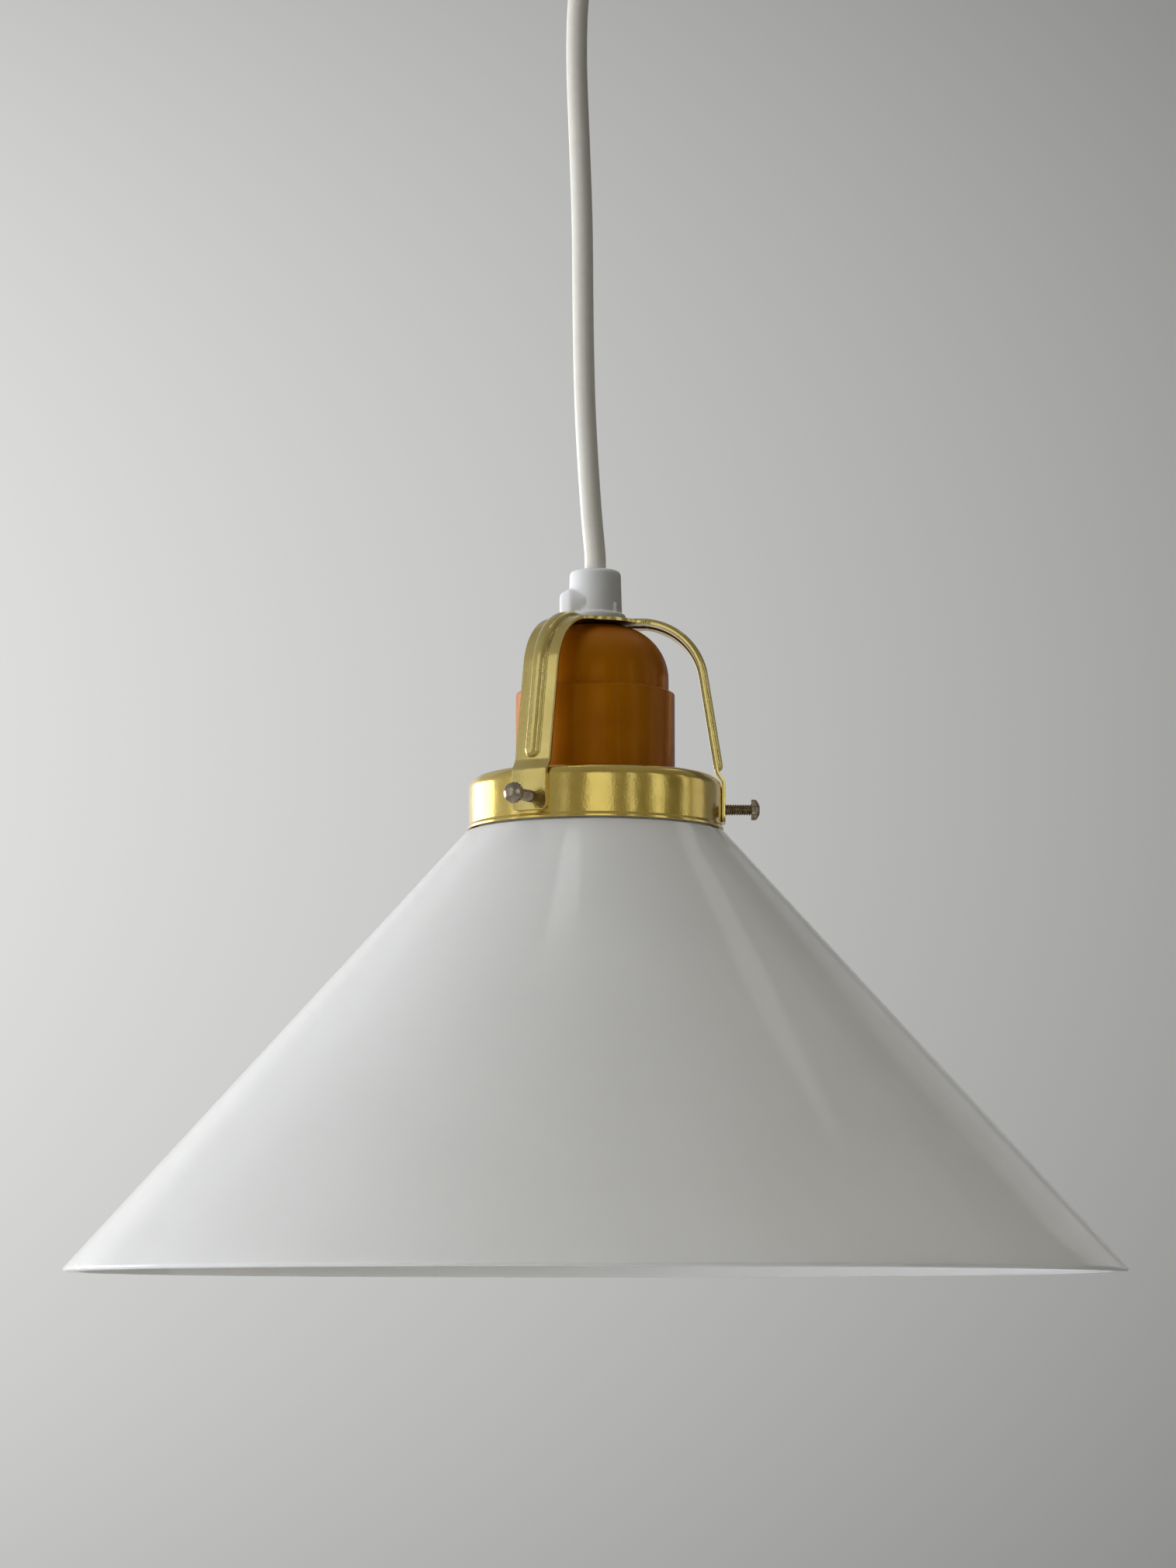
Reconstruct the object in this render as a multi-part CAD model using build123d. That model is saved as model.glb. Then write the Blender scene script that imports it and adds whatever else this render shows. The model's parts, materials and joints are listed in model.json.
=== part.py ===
from build123d import *
import math
import os

# Pendant ceiling light: an opal glass cone held by three thumbscrews in a brass gallery ring,
# which a three-armed spider hangs from the cord grip of a metal lampholder.
# Millimetres. The origin is on the ceiling, on the light's axis, and the light hangs to -Z.

# ---------- ceiling rose ----------
canopy_height = 48.0
canopy_top_radius = 45.0
canopy_bottom_radius = 41.5
canopy_corner = 12.0
canopy_wall = 2.0

bracket_width = 18.0
bracket_sheet = 1.5
bracket_lug_gap = 0.55         # from each lug's corners to the canopy
bracket_lug_width = 12.0
bracket_lug_drop = 14.0
bracket_bend = 3.0
slot_spacing = 60.0
slot_length = 14.0
slot_radius = 2.25

canopy_screw_radius = 2.0
canopy_screw_drop = 8.0        # axis of the side screws, below the ceiling
canopy_screw_head_radius = 3.6
canopy_screw_head = 2.2
canopy_screw_grip = 4.5        # thread that shows behind the lug
canopy_screw_spotface = 1.0
canopy_screw_clearance = 0.2
canopy_screw_slot = 1.0
canopy_screw_slot_depth = 0.7

block_length = 20.0
block_width = 16.0
block_height = 12.0
block_pole_spacing = 10.0
block_wire_radius = 1.5
block_screw_radius = 1.6
block_screw_recess = 2.0
block_screw_slot = 0.6
block_screw_slot_depth = 0.4
block_groove_width = 1.6       # between the two poles, in the block's foot
block_groove_depth = 1.5
block_corner = 1.0

# ---------- cord and cord grips ----------
cord_radius = 2.575
core_radius = 0.9
core_offset = 1.2
cord_gap = 0.3                 # room between the cord's links
cord_free_length = 186.0       # between the two grips, measured straight
link_depth = 5.0               # first bend of the cord, below the upper grip
link_length = 12.0             # from the first bend to the second

grip_body_radius = 6.15
grip_body_height = 10.6
grip_flange_radius = 7.2
grip_flange_height = 2.2
grip_edge = 1.6
grip_flange_edge = 0.5
grip_bore_clearance = 0.15
grip_boss_radius = 3.4
grip_boss_edge = 1.5
grip_boss_reach = 8.2          # face of the side boss, from the cord's axis
grip_boss_height = 4.4         # boss axis, above the foot of the flange
grip_screw_radius = 1.5
grip_screw_recess = 1.2
grip_screw_slot = 0.8
grip_screw_slot_depth = 0.25
stem_radius = 5.0              # M10 x 1
stem_length = 8.0
thread_clearance = 0.05
nut_flats = 14.0
nut_height = 3.0

# ---------- spider ----------
spider_height = 50.4           # top of the hub above the foot of the gallery ring
spider_sheet = 0.8
strap_width = 9.4
strap_lean = 9.0               # degrees from upright
strap_bend = 15.0
strap_step = 1.5               # how far each strap jogs out to lie on the ring
strap_jog_bend = 1.5
hub_radius = 11.5
rib_width = 4.2
rib_height = 0.9
rib_groove = 0.6
rib_groove_width = 2.4
rib_start = 9.5
rib_foot = 16.0                # above the foot of the ring
tab_top = 11.6
tab_foot = 1.9
tab_corner = 1.2
jog_top = 13.8

# ---------- gallery ring ----------
ring_radius = 30.4
ring_height = 12.8
ring_sheet = 0.6
ring_shoulder = 3.0
ring_lip = 0.6
ring_top_opening = 25.5

# ---------- thumbscrews ----------
screw_height = 5.16            # axis above the foot of the ring
screw_radius = 1.4
screw_fit = 0.05
screw_head_radius = 2.5
screw_head_thickness = 2.1
screw_head_face = 39.45        # outer face of the head, from the axis
screw_head_socket = 1.1
screw_tip_gap = 0.02
screw_tip_chamfer = 0.3
screw_head_round = 0.5
screw_head_chamfer = 0.2
ring_hole_clearance = 0.2

# ---------- glass shade ----------
shade_rim_radius = 125.0
shade_depth = 105.0            # rim below the foot of the ring
shade_wall = 3.0
rim_round = 1.2
shade_shoulder_radius = 31.2
shade_shoulder_drop = 1.0
neck_radius = 28.2
neck_wall = 2.8
neck_height = 10.9
bead_radius = 29.1
bead_gap = 0.02

# ---------- lampholder ----------
cap_radius = 17.65
cap_shoulder = 13.0
holder_sheet = 0.6
cap_collar_radius = 18.4
cap_collar_depth = 5.1
cap_boss_wall = 1.6
cap_boss_depth = 5.6
skirt_radius = 19.1
skirt_top = 33.1               # seam above the foot of the ring
skirt_foot = -4.0
skirt_mouth_radius = 15.6
skirt_ledge = 1.2
insert_radius = 16.4
insert_thickness = 12.0
insert_foot = 21.0
insert_flange = 2.5
pocket_depth = 5.0
pocket_length = 7.6
pocket_width = 8.6
terminal_offset = 9.0
terminal_size = 6.0
terminal_height = 6.5
terminal_screw_radius = 1.3
terminal_screw_head = 1.9
shell_radius = 13.3            # E27: inside of the thread's root
shell_wall = 0.4
shell_length = 17.4            # threaded length
shell_neck_radius = 12.4       # plain part above the thread, round the contact
shell_neck_length = 5.1
shell_plate_opening = 8.5
rivet_radius = 0.9
rivet_offset = 10.4
contact_width = 5.0
contact_sheet = 0.4
contact_root = 4.0
contact_slot_clearance = 0.35
contact_slot_depth = 1.6

# ---------- levels, from the ceiling down ----------
upper_exit = -canopy_height - grip_flange_height - grip_body_height
first_bend = upper_exit - link_depth
second_bend = first_bend - link_length
lower_grip_top = upper_exit - cord_free_length
hub_top = lower_grip_top - grip_flange_height - grip_body_height
ring_foot = hub_top - spider_height
cap_top = hub_top - spider_sheet
seam = ring_foot + skirt_top
insert_bottom = ring_foot + insert_foot
insert_top = insert_bottom + insert_thickness
collar_foot = seam - cap_collar_depth
screw_axis = ring_foot + screw_height
arm_angles = [0, 120, 240]


def turned(outline):
    """A solid turned about the light's axis from a closed outline of (radius, height) points."""
    return revolve(Plane.XZ * make_face(outline), Axis.Z)


def tube(outer, inner, low, high):
    """A straight tube on the light's axis."""
    ring = Circle(outer) - Circle(inner)
    return extrude(Pos(0, 0, low) * ring, high - low)


def disc(radius, low, high):
    return extrude(Pos(0, 0, low) * Circle(radius), high - low)


def sheet_outline(points, radii, thickness, side):
    """The outline of bent sheet: a path with rounded corners, given a thickness to one side."""
    path = FilletPolyline(*points, radius=radii)
    return offset(path, amount=thickness, side=side)


def radial_pin(radius, start, end, height):
    """A cylinder along +X, from one distance from the axis to another."""
    return extrude(Plane(origin=(start, 0, height), z_dir=(1, 0, 0)) * Circle(radius), end - start)


def around(solid, angle):
    return Rot(0, 0, angle) * solid


def keep(node, *solids):
    """Write one node; several solids in a node stay separate solids."""
    shape = solids[0] if len(solids) == 1 else Compound(children=list(solids))
    shape.label = node
    export_step(shape, f"parts/{node}.step")
    print(f"{node:24s} {sum(s.volume for s in solids):10.1f} mm3")


# ---------- ceiling rose ----------
def wall_radius(height):
    """Outer radius of the canopy's tapered wall at a height below the ceiling."""
    return canopy_top_radius + (canopy_top_radius - canopy_bottom_radius) * height / canopy_height


def lug_face():
    """Outer face of each lug, from the axis: its lowest corners just clear the canopy's wall."""
    inside = wall_radius(-bracket_lug_drop) - canopy_wall
    return math.sqrt(inside**2 - (bracket_lug_width / 2) ** 2) - bracket_lug_gap


bracket_lug_face = lug_face()
spotface_x = wall_radius(-canopy_screw_drop) - canopy_screw_spotface
nut_top = -canopy_height + canopy_wall + nut_height


def canopy_cup():
    points = [(canopy_top_radius, 0), (canopy_bottom_radius, -canopy_height), (0, -canopy_height)]
    inner = canopy_corner - canopy_wall
    outer_edge = FilletPolyline(*points, radius=canopy_corner)
    body = turned(outer_edge + Polyline((0, -canopy_height), (0, 0), (canopy_top_radius, 0)))
    slope = (canopy_top_radius - canopy_bottom_radius) / canopy_height
    floor = -canopy_height + canopy_wall
    in_top = canopy_top_radius - canopy_wall
    in_foot = in_top + slope * floor
    hollow_edge = FilletPolyline((in_top, 0), (in_foot, floor), (0, floor), radius=inner)
    body -= turned(hollow_edge + Polyline((0, floor), (0, 0), (in_top, 0)))
    body -= disc(stem_radius + thread_clearance, -canopy_height, floor)
    face_radius = canopy_screw_head_radius + 2 * canopy_screw_clearance
    hole_radius = canopy_screw_radius + canopy_screw_clearance
    for angle in (0, 180):
        face = radial_pin(face_radius, spotface_x, canopy_top_radius, -canopy_screw_drop)
        hole = radial_pin(hole_radius, bracket_lug_face, canopy_top_radius, -canopy_screw_drop)
        body -= around(face, angle)
        body -= around(hole, angle)
    return body


def ceiling_bracket():
    half = bracket_lug_face
    points = [(0, 0), (half, 0), (half, -bracket_lug_drop)]
    outline = sheet_outline(points, bracket_bend, bracket_sheet, Side.RIGHT)
    strap = extrude(Plane.XZ * make_face(outline), bracket_width / 2, both=True)
    trim = Box(half, bracket_width, bracket_lug_drop, align=(Align.MIN, Align.CENTER, Align.MAX))
    waist = Box(half, bracket_lug_width, bracket_lug_drop, align=(Align.MIN, Align.CENTER, Align.MAX))
    lug_start = half - bracket_bend - bracket_sheet
    strap -= Pos(lug_start, 0, 0) * (trim - waist)
    thread = canopy_screw_radius + thread_clearance
    strap -= radial_pin(thread, half - 2 * bracket_sheet, half, -canopy_screw_drop)
    slot = SlotCenterToCenter(slot_length - 2 * slot_radius, 2 * slot_radius)
    strap -= extrude(Pos(slot_spacing / 2, 0, -bracket_sheet) * slot, bracket_sheet)
    return strap + mirror(strap, Plane.YZ)


def canopy_screw():
    tip = bracket_lug_face - canopy_screw_grip
    face = spotface_x + canopy_screw_head
    shank = radial_pin(canopy_screw_radius, tip, spotface_x, -canopy_screw_drop)
    head = radial_pin(canopy_screw_head_radius, spotface_x, face, -canopy_screw_drop)
    rim = head.faces().sort_by(Axis.X)[-1].edges()
    head = fillet(rim, canopy_screw_head * 0.6)
    slot = Box(2 * canopy_screw_slot_depth, canopy_screw_slot, 2 * canopy_screw_head_radius)
    return shank + head - Pos(face, 0, -canopy_screw_drop) * slot


def pole_places():
    return [-block_pole_spacing / 2, block_pole_spacing / 2]


block_top = -bracket_sheet
block_foot = block_top - block_height
wire_height = block_top - block_height * 0.55


def terminal_block():
    block = Pos(0, 0, block_foot) * Box(
        block_length, block_width, block_height, align=(Align.CENTER, Align.CENTER, Align.MIN)
    )
    block = fillet(block.edges().filter_by(Axis.Z), block_corner)
    for x in pole_places():
        bore = extrude(
            Plane(origin=(x, block_width / 2, wire_height), z_dir=(0, -1, 0)) * Circle(block_wire_radius),
            block_width,
        )
        well = Pos(x, block_width / 4, 0) * disc(block_screw_radius, block_foot, wire_height)
        block -= bore
        block -= well
    groove = Box(block_groove_width, block_width, 2 * block_groove_depth)
    return block - Pos(0, 0, block_foot) * groove


def block_screw(x):
    tip = wire_height - core_radius
    head = block_foot + block_screw_recess
    screw = Pos(x, block_width / 4, 0) * disc(block_screw_radius - thread_clearance, head, tip)
    slot = Box(2 * block_screw_radius, block_screw_slot, 2 * block_screw_slot_depth)
    return screw - Pos(x, block_width / 4, head) * slot


# ---------- cord grip: made standing on its flange at z = 0, body upwards ----------
def cord_grip():
    flange = disc(grip_flange_radius, 0, grip_flange_height)
    flange = fillet(flange.faces().sort_by(Axis.Z)[-1].edges(), grip_flange_edge)
    top = grip_flange_height + grip_body_height
    body = disc(grip_body_radius, grip_flange_height, top)
    body = fillet(body.faces().sort_by(Axis.Z)[-1].edges(), grip_edge)
    boss = radial_pin(grip_boss_radius, 0, grip_boss_reach, grip_boss_height)
    boss = around(fillet(boss.faces().sort_by(Axis.X)[-1].edges(), grip_boss_edge), 180)
    boss -= disc(grip_body_radius - 1.0, 0, top)
    stem = disc(stem_radius - thread_clearance, -stem_length, 0)
    grip = flange + body + boss + stem
    bore_radius = cord_radius + grip_bore_clearance
    grip -= disc(bore_radius, -stem_length, top)
    mouth = top - grip_edge
    flare = bore_radius + grip_edge * 0.6
    grip -= turned(Polyline((0, mouth), (bore_radius, mouth), (flare, top), (0, top), (0, mouth)))
    screw_hole = radial_pin(grip_screw_radius + thread_clearance, 0, grip_boss_reach, grip_boss_height)
    return grip - around(screw_hole, 180)


def clamp_screw():
    face = grip_boss_reach - grip_screw_recess
    screw = radial_pin(grip_screw_radius, cord_radius, face, grip_boss_height)
    slot = Box(2 * grip_screw_slot_depth, 2 * grip_screw_radius, grip_screw_slot)
    return around(screw - Pos(face, 0, grip_boss_height) * slot, 180)


def hex_nut(low):
    nut = extrude(Pos(0, 0, low) * RegularPolygon(nut_flats / 2, 6, major_radius=False), nut_height)
    return nut - disc(stem_radius + thread_clearance, low, low + nut_height)


lower_grip = Pos(0, 0, hub_top)
upper_grip = Pos(0, 0, -canopy_height) * Rot(180, 0, 0)


# ---------- cord ----------
# the cord keeps some of the curl it was packed with, so it does not hang quite straight
cord_route = [
    (0.0, 0.0, 0.0),
    (0.0, 0.0, 4.0),
    (-0.8, 0.0, 12.0),
    (-1.7, 0.0, 25.0),
    (-2.6, 0.0, 42.0),
    (-3.0, 0.0, 64.0),
    (-3.1, 0.0, 86.0),
    (-3.9, 0.0, 108.0),
    (-4.7, 0.0, 128.0),
    (-4.2, 0.0, 146.0),
    (-1.2, 0.0, 158.0),
]


def free_cord():
    """The stretch from the second bend down to the lower grip, as a tube of runs and arcs."""
    end = second_bend - cord_radius - cord_gap
    reach = end - lower_grip_top
    points = [Vector(x, y, lower_grip_top + z) for x, y, z in cord_route]
    points.append(Vector(0, 0, lower_grip_top + reach))
    radii = []
    for before, corner, after in zip(points, points[1:], points[2:]):
        turn = (corner - before).get_angle(after - corner)
        run = min((corner - before).length, (after - corner).length)
        radii.append(0.45 * run / math.tan(math.radians(turn / 2)))
    print("cord radii:", [round(r) for r in radii])
    path = FilletPolyline(*points, radius=radii)
    start = Plane(origin=path @ 0, z_dir=path % 0)
    cord = sweep(start * Circle(cord_radius), path=path)
    share = cord.volume / (math.pi * cord_radius**2 * path.length)
    print("cord length", round(path.length, 1), "volume share", round(share, 4))
    return cord


def cord_link():
    link = disc(cord_radius, second_bend, first_bend)
    for height in (second_bend, first_bend):
        link += Pos(0, 0, height) * Sphere(cord_radius)
    return link


cord_end_above = nut_top + 6.0
cord_end_below = cap_top - cap_boss_depth - 2.5


def core(points, bend):
    """One insulated conductor along straight runs and arcs."""
    path = FilletPolyline(*points, radius=bend)
    return sweep(Plane(origin=path @ 0, z_dir=path % 0) * Circle(core_radius), path=path)


def upper_core(side):
    x = side * core_offset
    pole = side * block_pole_spacing / 2
    outside = block_width / 2 + 6.0
    points = [
        (x, 0, cord_end_above),
        (x, 0, cord_end_above + 3.0),
        (pole, outside, (cord_end_above + wire_height) / 2),
        (pole, outside, wire_height),
        (pole, block_width / 4, wire_height),
    ]
    return core(points, 2.0)


def lower_core(side):
    x = side * core_offset
    pole = side * terminal_offset
    points = [
        (x, 0, cord_end_below),
        (x, 0, cord_end_below - 1.5),
        (pole, 0, insert_top + 3.0),
        (pole, 0, insert_top - 1.0),
    ]
    return core(points, 1.4)


# ---------- spider ----------
def strap_radius(height):
    """Outer face of a strap's straight run, at a height above the ring's foot."""
    lean = math.tan(math.radians(strap_lean))
    return ring_radius + spider_sheet - strap_step + lean * (jog_top - height)


tab_face = ring_radius + spider_sheet


def spider():
    hub = disc(hub_radius, cap_top, hub_top)
    corner = (strap_radius(spider_height), hub_top)
    points = [
        (stem_radius + 2.0, hub_top),
        corner,
        (strap_radius(jog_top), ring_foot + jog_top),
        (tab_face, ring_foot + tab_top),
        (tab_face, ring_foot + tab_foot),
    ]
    bends = [strap_bend, strap_jog_bend, strap_jog_bend]
    outline = sheet_outline(points, bends, spider_sheet, Side.RIGHT)
    arm = extrude(Plane.XZ * make_face(outline), strap_width / 2, both=True)
    foot_edges = arm.edges().filter_by(Axis.X).sort_by(Axis.Z)[:2]
    arm = fillet(foot_edges, tab_corner)

    rib_points = [(rib_start, hub_top), corner, (strap_radius(rib_foot), ring_foot + rib_foot)]
    ridge = sheet_outline(rib_points, strap_bend, rib_height, Side.LEFT)
    arm += extrude(Plane.XZ * make_face(ridge), rib_width / 2, both=True)
    depth = spider_sheet - rib_groove
    groove = make_face(sheet_outline(rib_points, strap_bend, spider_sheet, Side.RIGHT))
    groove -= make_face(sheet_outline(rib_points, strap_bend, depth, Side.RIGHT))
    arm -= extrude(Plane.XZ * groove, rib_groove_width / 2, both=True)

    arm -= radial_pin(screw_radius + screw_fit, ring_radius - 1, tab_face + 1, screw_axis)
    whole = hub
    for angle in arm_angles:
        whole += around(arm, angle)
    return whole - disc(stem_radius + thread_clearance, cap_top, hub_top)


# ---------- gallery ring ----------
def gallery_ring():
    lip_radius = ring_radius + ring_lip
    points = [
        (ring_top_opening, ring_foot + ring_height),
        (ring_radius, ring_foot + ring_height),
        (ring_radius, ring_foot + 1.5 * ring_lip + 0.3),
        (lip_radius, ring_foot + 0.5 * ring_lip + 0.3),
        (lip_radius, ring_foot),
    ]
    ring = turned(sheet_outline(points, [ring_shoulder, 0.3, 0.3], ring_sheet, Side.RIGHT))
    hole = radial_pin(screw_radius + ring_hole_clearance, neck_radius, ring_radius + 1, screw_axis)
    for angle in arm_angles:
        ring -= around(hole, angle)
    return ring


# ---------- thumbscrews ----------
head_seat = screw_head_face - screw_head_thickness


def thumbscrew_shank():
    start = neck_radius + screw_tip_gap
    end = head_seat + screw_head_socket - screw_fit
    shank = radial_pin(screw_radius, start, end, screw_axis)
    return chamfer(shank.faces().sort_by(Axis.X)[0].edges(), screw_tip_chamfer)


def thumbscrew_head():
    head = radial_pin(screw_head_radius, head_seat, screw_head_face, screw_axis)
    head = fillet(head.faces().sort_by(Axis.X)[-1].edges(), screw_head_round)
    head = chamfer(head.faces().sort_by(Axis.X)[0].edges(), screw_head_chamfer)
    return head - radial_pin(screw_radius + screw_fit, head_seat, head_seat + screw_head_socket, screw_axis)


# ---------- glass shade ----------
# the outer face runs straight from the shoulder and is tangent to the rounded rim
rim_span = shade_rim_radius - rim_round - shade_shoulder_radius
rim_fall = shade_depth - rim_round - shade_shoulder_drop
half_angle = math.atan2(rim_span, rim_fall) + math.asin(rim_round / math.hypot(rim_span, rim_fall))
shade_slope = math.tan(half_angle)
wall_across = shade_wall / math.cos(half_angle)            # level distance between the two faces


def shade_inner_radius(drop):
    """Inside radius of the cone, at a distance below the ring's foot."""
    return shade_shoulder_radius + shade_slope * (drop - shade_shoulder_drop) - wall_across


def glass_shade():
    neck_inner = neck_radius - neck_wall
    bead_foot = screw_height + screw_radius + bead_gap
    inner_drop = shade_shoulder_drop + (neck_inner + wall_across - shade_shoulder_radius) / shade_slope
    corners = [
        (neck_inner, neck_height, 0.8),
        (bead_radius, neck_height, 1.2),
        (bead_radius, bead_foot, 0.3),
        (neck_radius, bead_foot, 0.0),
        (neck_radius, -shade_shoulder_drop, 1.0),
        (shade_shoulder_radius, -shade_shoulder_drop, 1.2),
        (shade_inner_radius(shade_depth) + wall_across, -shade_depth, rim_round),
        (shade_inner_radius(shade_depth), -shade_depth, rim_round),
        (neck_inner, -inner_drop, 3.0),
    ]
    outline = make_face(Polyline(*[(x, ring_foot + z) for x, z, _ in corners], close=True))
    for x, z, radius in corners:
        if radius:
            place = Vector(x, ring_foot + z, 0)
            corner = outline.vertices().sort_by_distance(place)[0]
            outline = outline.face().fillet_2d(radius, [corner])
    return revolve(Plane.XZ * outline, Axis.Z)


# ---------- lampholder ----------
def holder_cap():
    foot = seam
    top = cap_top
    outer = FilletPolyline((cap_radius, foot), (cap_radius, top), (0, top), radius=cap_shoulder)
    body = turned(outer + Polyline((0, top), (0, foot), (cap_radius, foot)))
    in_radius = cap_radius - holder_sheet
    in_top = top - holder_sheet
    inner = FilletPolyline(
        (in_radius, foot), (in_radius, in_top), (0, in_top), radius=cap_shoulder - holder_sheet
    )
    body -= turned(inner + Polyline((0, in_top), (0, foot), (in_radius, foot)))
    body += tube(cap_collar_radius, in_radius, collar_foot, foot)
    boss_radius = stem_radius + thread_clearance + cap_boss_wall
    body += disc(boss_radius, top - cap_boss_depth, in_top)
    return body - disc(stem_radius + thread_clearance, top - cap_boss_depth, top)


def holder_skirt():
    points = [
        (skirt_radius, seam),
        (skirt_radius, ring_foot + skirt_foot),
        (skirt_mouth_radius, ring_foot + skirt_foot),
    ]
    skirt = turned(sheet_outline(points, 1.4, holder_sheet, Side.RIGHT))
    ledge_top = collar_foot - insert_flange
    return skirt + tube(skirt_radius - holder_sheet, insert_radius + 0.2, ledge_top - skirt_ledge, ledge_top)


def contact_slot(grow):
    """The strip's root stands in this slot of the insert."""
    return Pos(contact_root, 0, insert_bottom) * Box(
        contact_sheet + 2 * grow,
        contact_width + 2 * grow,
        contact_slot_depth,
        align=(Align.CENTER, Align.CENTER, Align.MIN),
    )


def porcelain_insert():
    insert = disc(insert_radius, insert_bottom, insert_top)
    insert = fillet(insert.faces().sort_by(Axis.Z)[-1].edges(), 0.8)
    insert += disc(cap_collar_radius - 0.1, collar_foot - insert_flange, collar_foot)
    for side in (-1, 1):
        pocket = Pos(side * terminal_offset, 0, insert_top - pocket_depth) * Box(
            pocket_length, pocket_width, pocket_depth, align=(Align.CENTER, Align.CENTER, Align.MIN)
        )
        insert -= pocket
        insert -= Pos(0, side * rivet_offset, 0) * disc(rivet_radius, insert_bottom, insert_top)
    return insert - contact_slot(contact_slot_clearance)


def terminal(side):
    x = side * terminal_offset
    low = insert_top - pocket_depth
    body = Pos(x, 0, low) * Box(
        terminal_size, terminal_size, terminal_height, align=(Align.CENTER, Align.CENTER, Align.MIN)
    )
    body = fillet(body.edges().filter_by(Axis.Z), 0.6)
    wire = Pos(x, 0, 0) * disc(core_radius + 0.2, insert_top - 1.2, low + terminal_height)
    return body - wire


def terminal_screw(side):
    x = side * terminal_offset
    start = terminal_size / 2
    height = insert_top - pocket_depth + terminal_height - 1.6
    plane = Plane(origin=(x, -start, height), z_dir=(0, -1, 0))
    head = extrude(plane * Circle(terminal_screw_radius), 0.9)
    return head - Pos(x, -start - 0.9, height) * Box(2 * terminal_screw_head, 0.6, 0.4)


def screw_shell():
    outer = shell_radius + shell_wall
    neck_foot = insert_bottom - shell_neck_length
    shell = tube(outer, shell_radius, neck_foot - shell_length, neck_foot)
    neck = tube(shell_neck_radius + shell_wall, shell_neck_radius, neck_foot, insert_bottom - shell_wall)
    step = tube(outer, shell_neck_radius, neck_foot, neck_foot + shell_wall)
    plate = tube(outer, shell_plate_opening, insert_bottom - shell_wall, insert_bottom)
    hole = disc(rivet_radius, insert_bottom - shell_wall, insert_bottom)
    for side in (-1, 1):
        plate -= Pos(0, side * rivet_offset, 0) * hole
    return shell + step + neck + plate


def rivet(side):
    pin = disc(rivet_radius, insert_bottom - shell_wall, insert_top)
    head = disc(rivet_radius * 1.8, insert_top, insert_top + 0.6)
    foot = disc(rivet_radius * 1.8, insert_bottom - shell_wall - 0.6, insert_bottom - shell_wall)
    return Pos(0, side * rivet_offset, 0) * (pin + head + foot)


def centre_contact():
    points = [
        (contact_root, insert_bottom + contact_slot_depth - contact_slot_clearance),
        (contact_root, insert_bottom - 1.4),
        (-0.6, insert_bottom - 3.6),
        (-3.2, insert_bottom - 2.4),
    ]
    outline = offset(FilletPolyline(*points, radius=1.0), amount=contact_sheet / 2, side=Side.BOTH)
    return extrude(Plane.XZ * make_face(outline), contact_width / 2, both=True)


os.makedirs("parts", exist_ok=True)

keep("ceiling_bracket", ceiling_bracket())
keep("canopy", canopy_cup())
keep("canopy_screws", *[around(canopy_screw(), angle) for angle in (0, 180)])
keep("terminal_block", terminal_block())
keep("terminal_block_screws", *[block_screw(x) for x in pole_places()])
keep("upper_cord_grip", upper_grip * cord_grip())
keep("upper_clamp_screw", upper_grip * clamp_screw())
keep("upper_lock_nut", hex_nut(-canopy_height + canopy_wall))
keep("upper_live_core", upper_core(1))
keep("upper_neutral_core", upper_core(-1))
keep("cord_in_rose", disc(cord_radius, first_bend + cord_radius + cord_gap, cord_end_above))
keep("cord_link", cord_link())
keep("cord", free_cord())
keep("cord_in_holder", disc(cord_radius, cord_end_below, lower_grip_top - 0.05))
keep("lower_cord_grip", lower_grip * cord_grip())
keep("lower_clamp_screw", lower_grip * clamp_screw())
keep("spider", spider())
keep("gallery_ring", gallery_ring())
for number, angle in enumerate(arm_angles, start=1):
    keep(f"thumbscrew_shank_{number}", around(thumbscrew_shank(), angle))
    keep(f"thumbscrew_head_{number}", around(thumbscrew_head(), angle))
keep("glass_shade", glass_shade())
keep("holder_cap", holder_cap())
keep("holder_skirt", holder_skirt())
keep("porcelain_insert", porcelain_insert())
keep("live_terminal", terminal(1))
keep("neutral_terminal", terminal(-1))
keep("terminal_screws", *[terminal_screw(side) for side in (-1, 1)])
keep("lower_live_core", lower_core(1))
keep("lower_neutral_core", lower_core(-1))
keep("screw_shell", screw_shell())
keep("shell_rivets", *[rivet(side) for side in (-1, 1)])
keep("centre_contact", centre_contact())
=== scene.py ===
# %% [markdown]
# # A pendant ceiling light: opal glass, brass and a white flex
#
# The light is an opal glass cone. Three thumbscrews hold its neck in a brass gallery ring, a
# three-armed brass spider carries the ring, and the spider's hub is clamped between a white cord
# grip and an amber-lacquered lampholder. The engineering model of every piece already exists. It
# is loaded here as a fixed frame, and this lesson gives each piece its visible surface.
#
# All sizes are in metres. `MM` turns a size in millimetres into metres, so that the numbers below
# read as a maker would say them.

# %% Load the frame
import json
import math
from functools import partial, reduce

import bmesh
import bpy
from mathutils import Matrix, Quaternion, Vector


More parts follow.
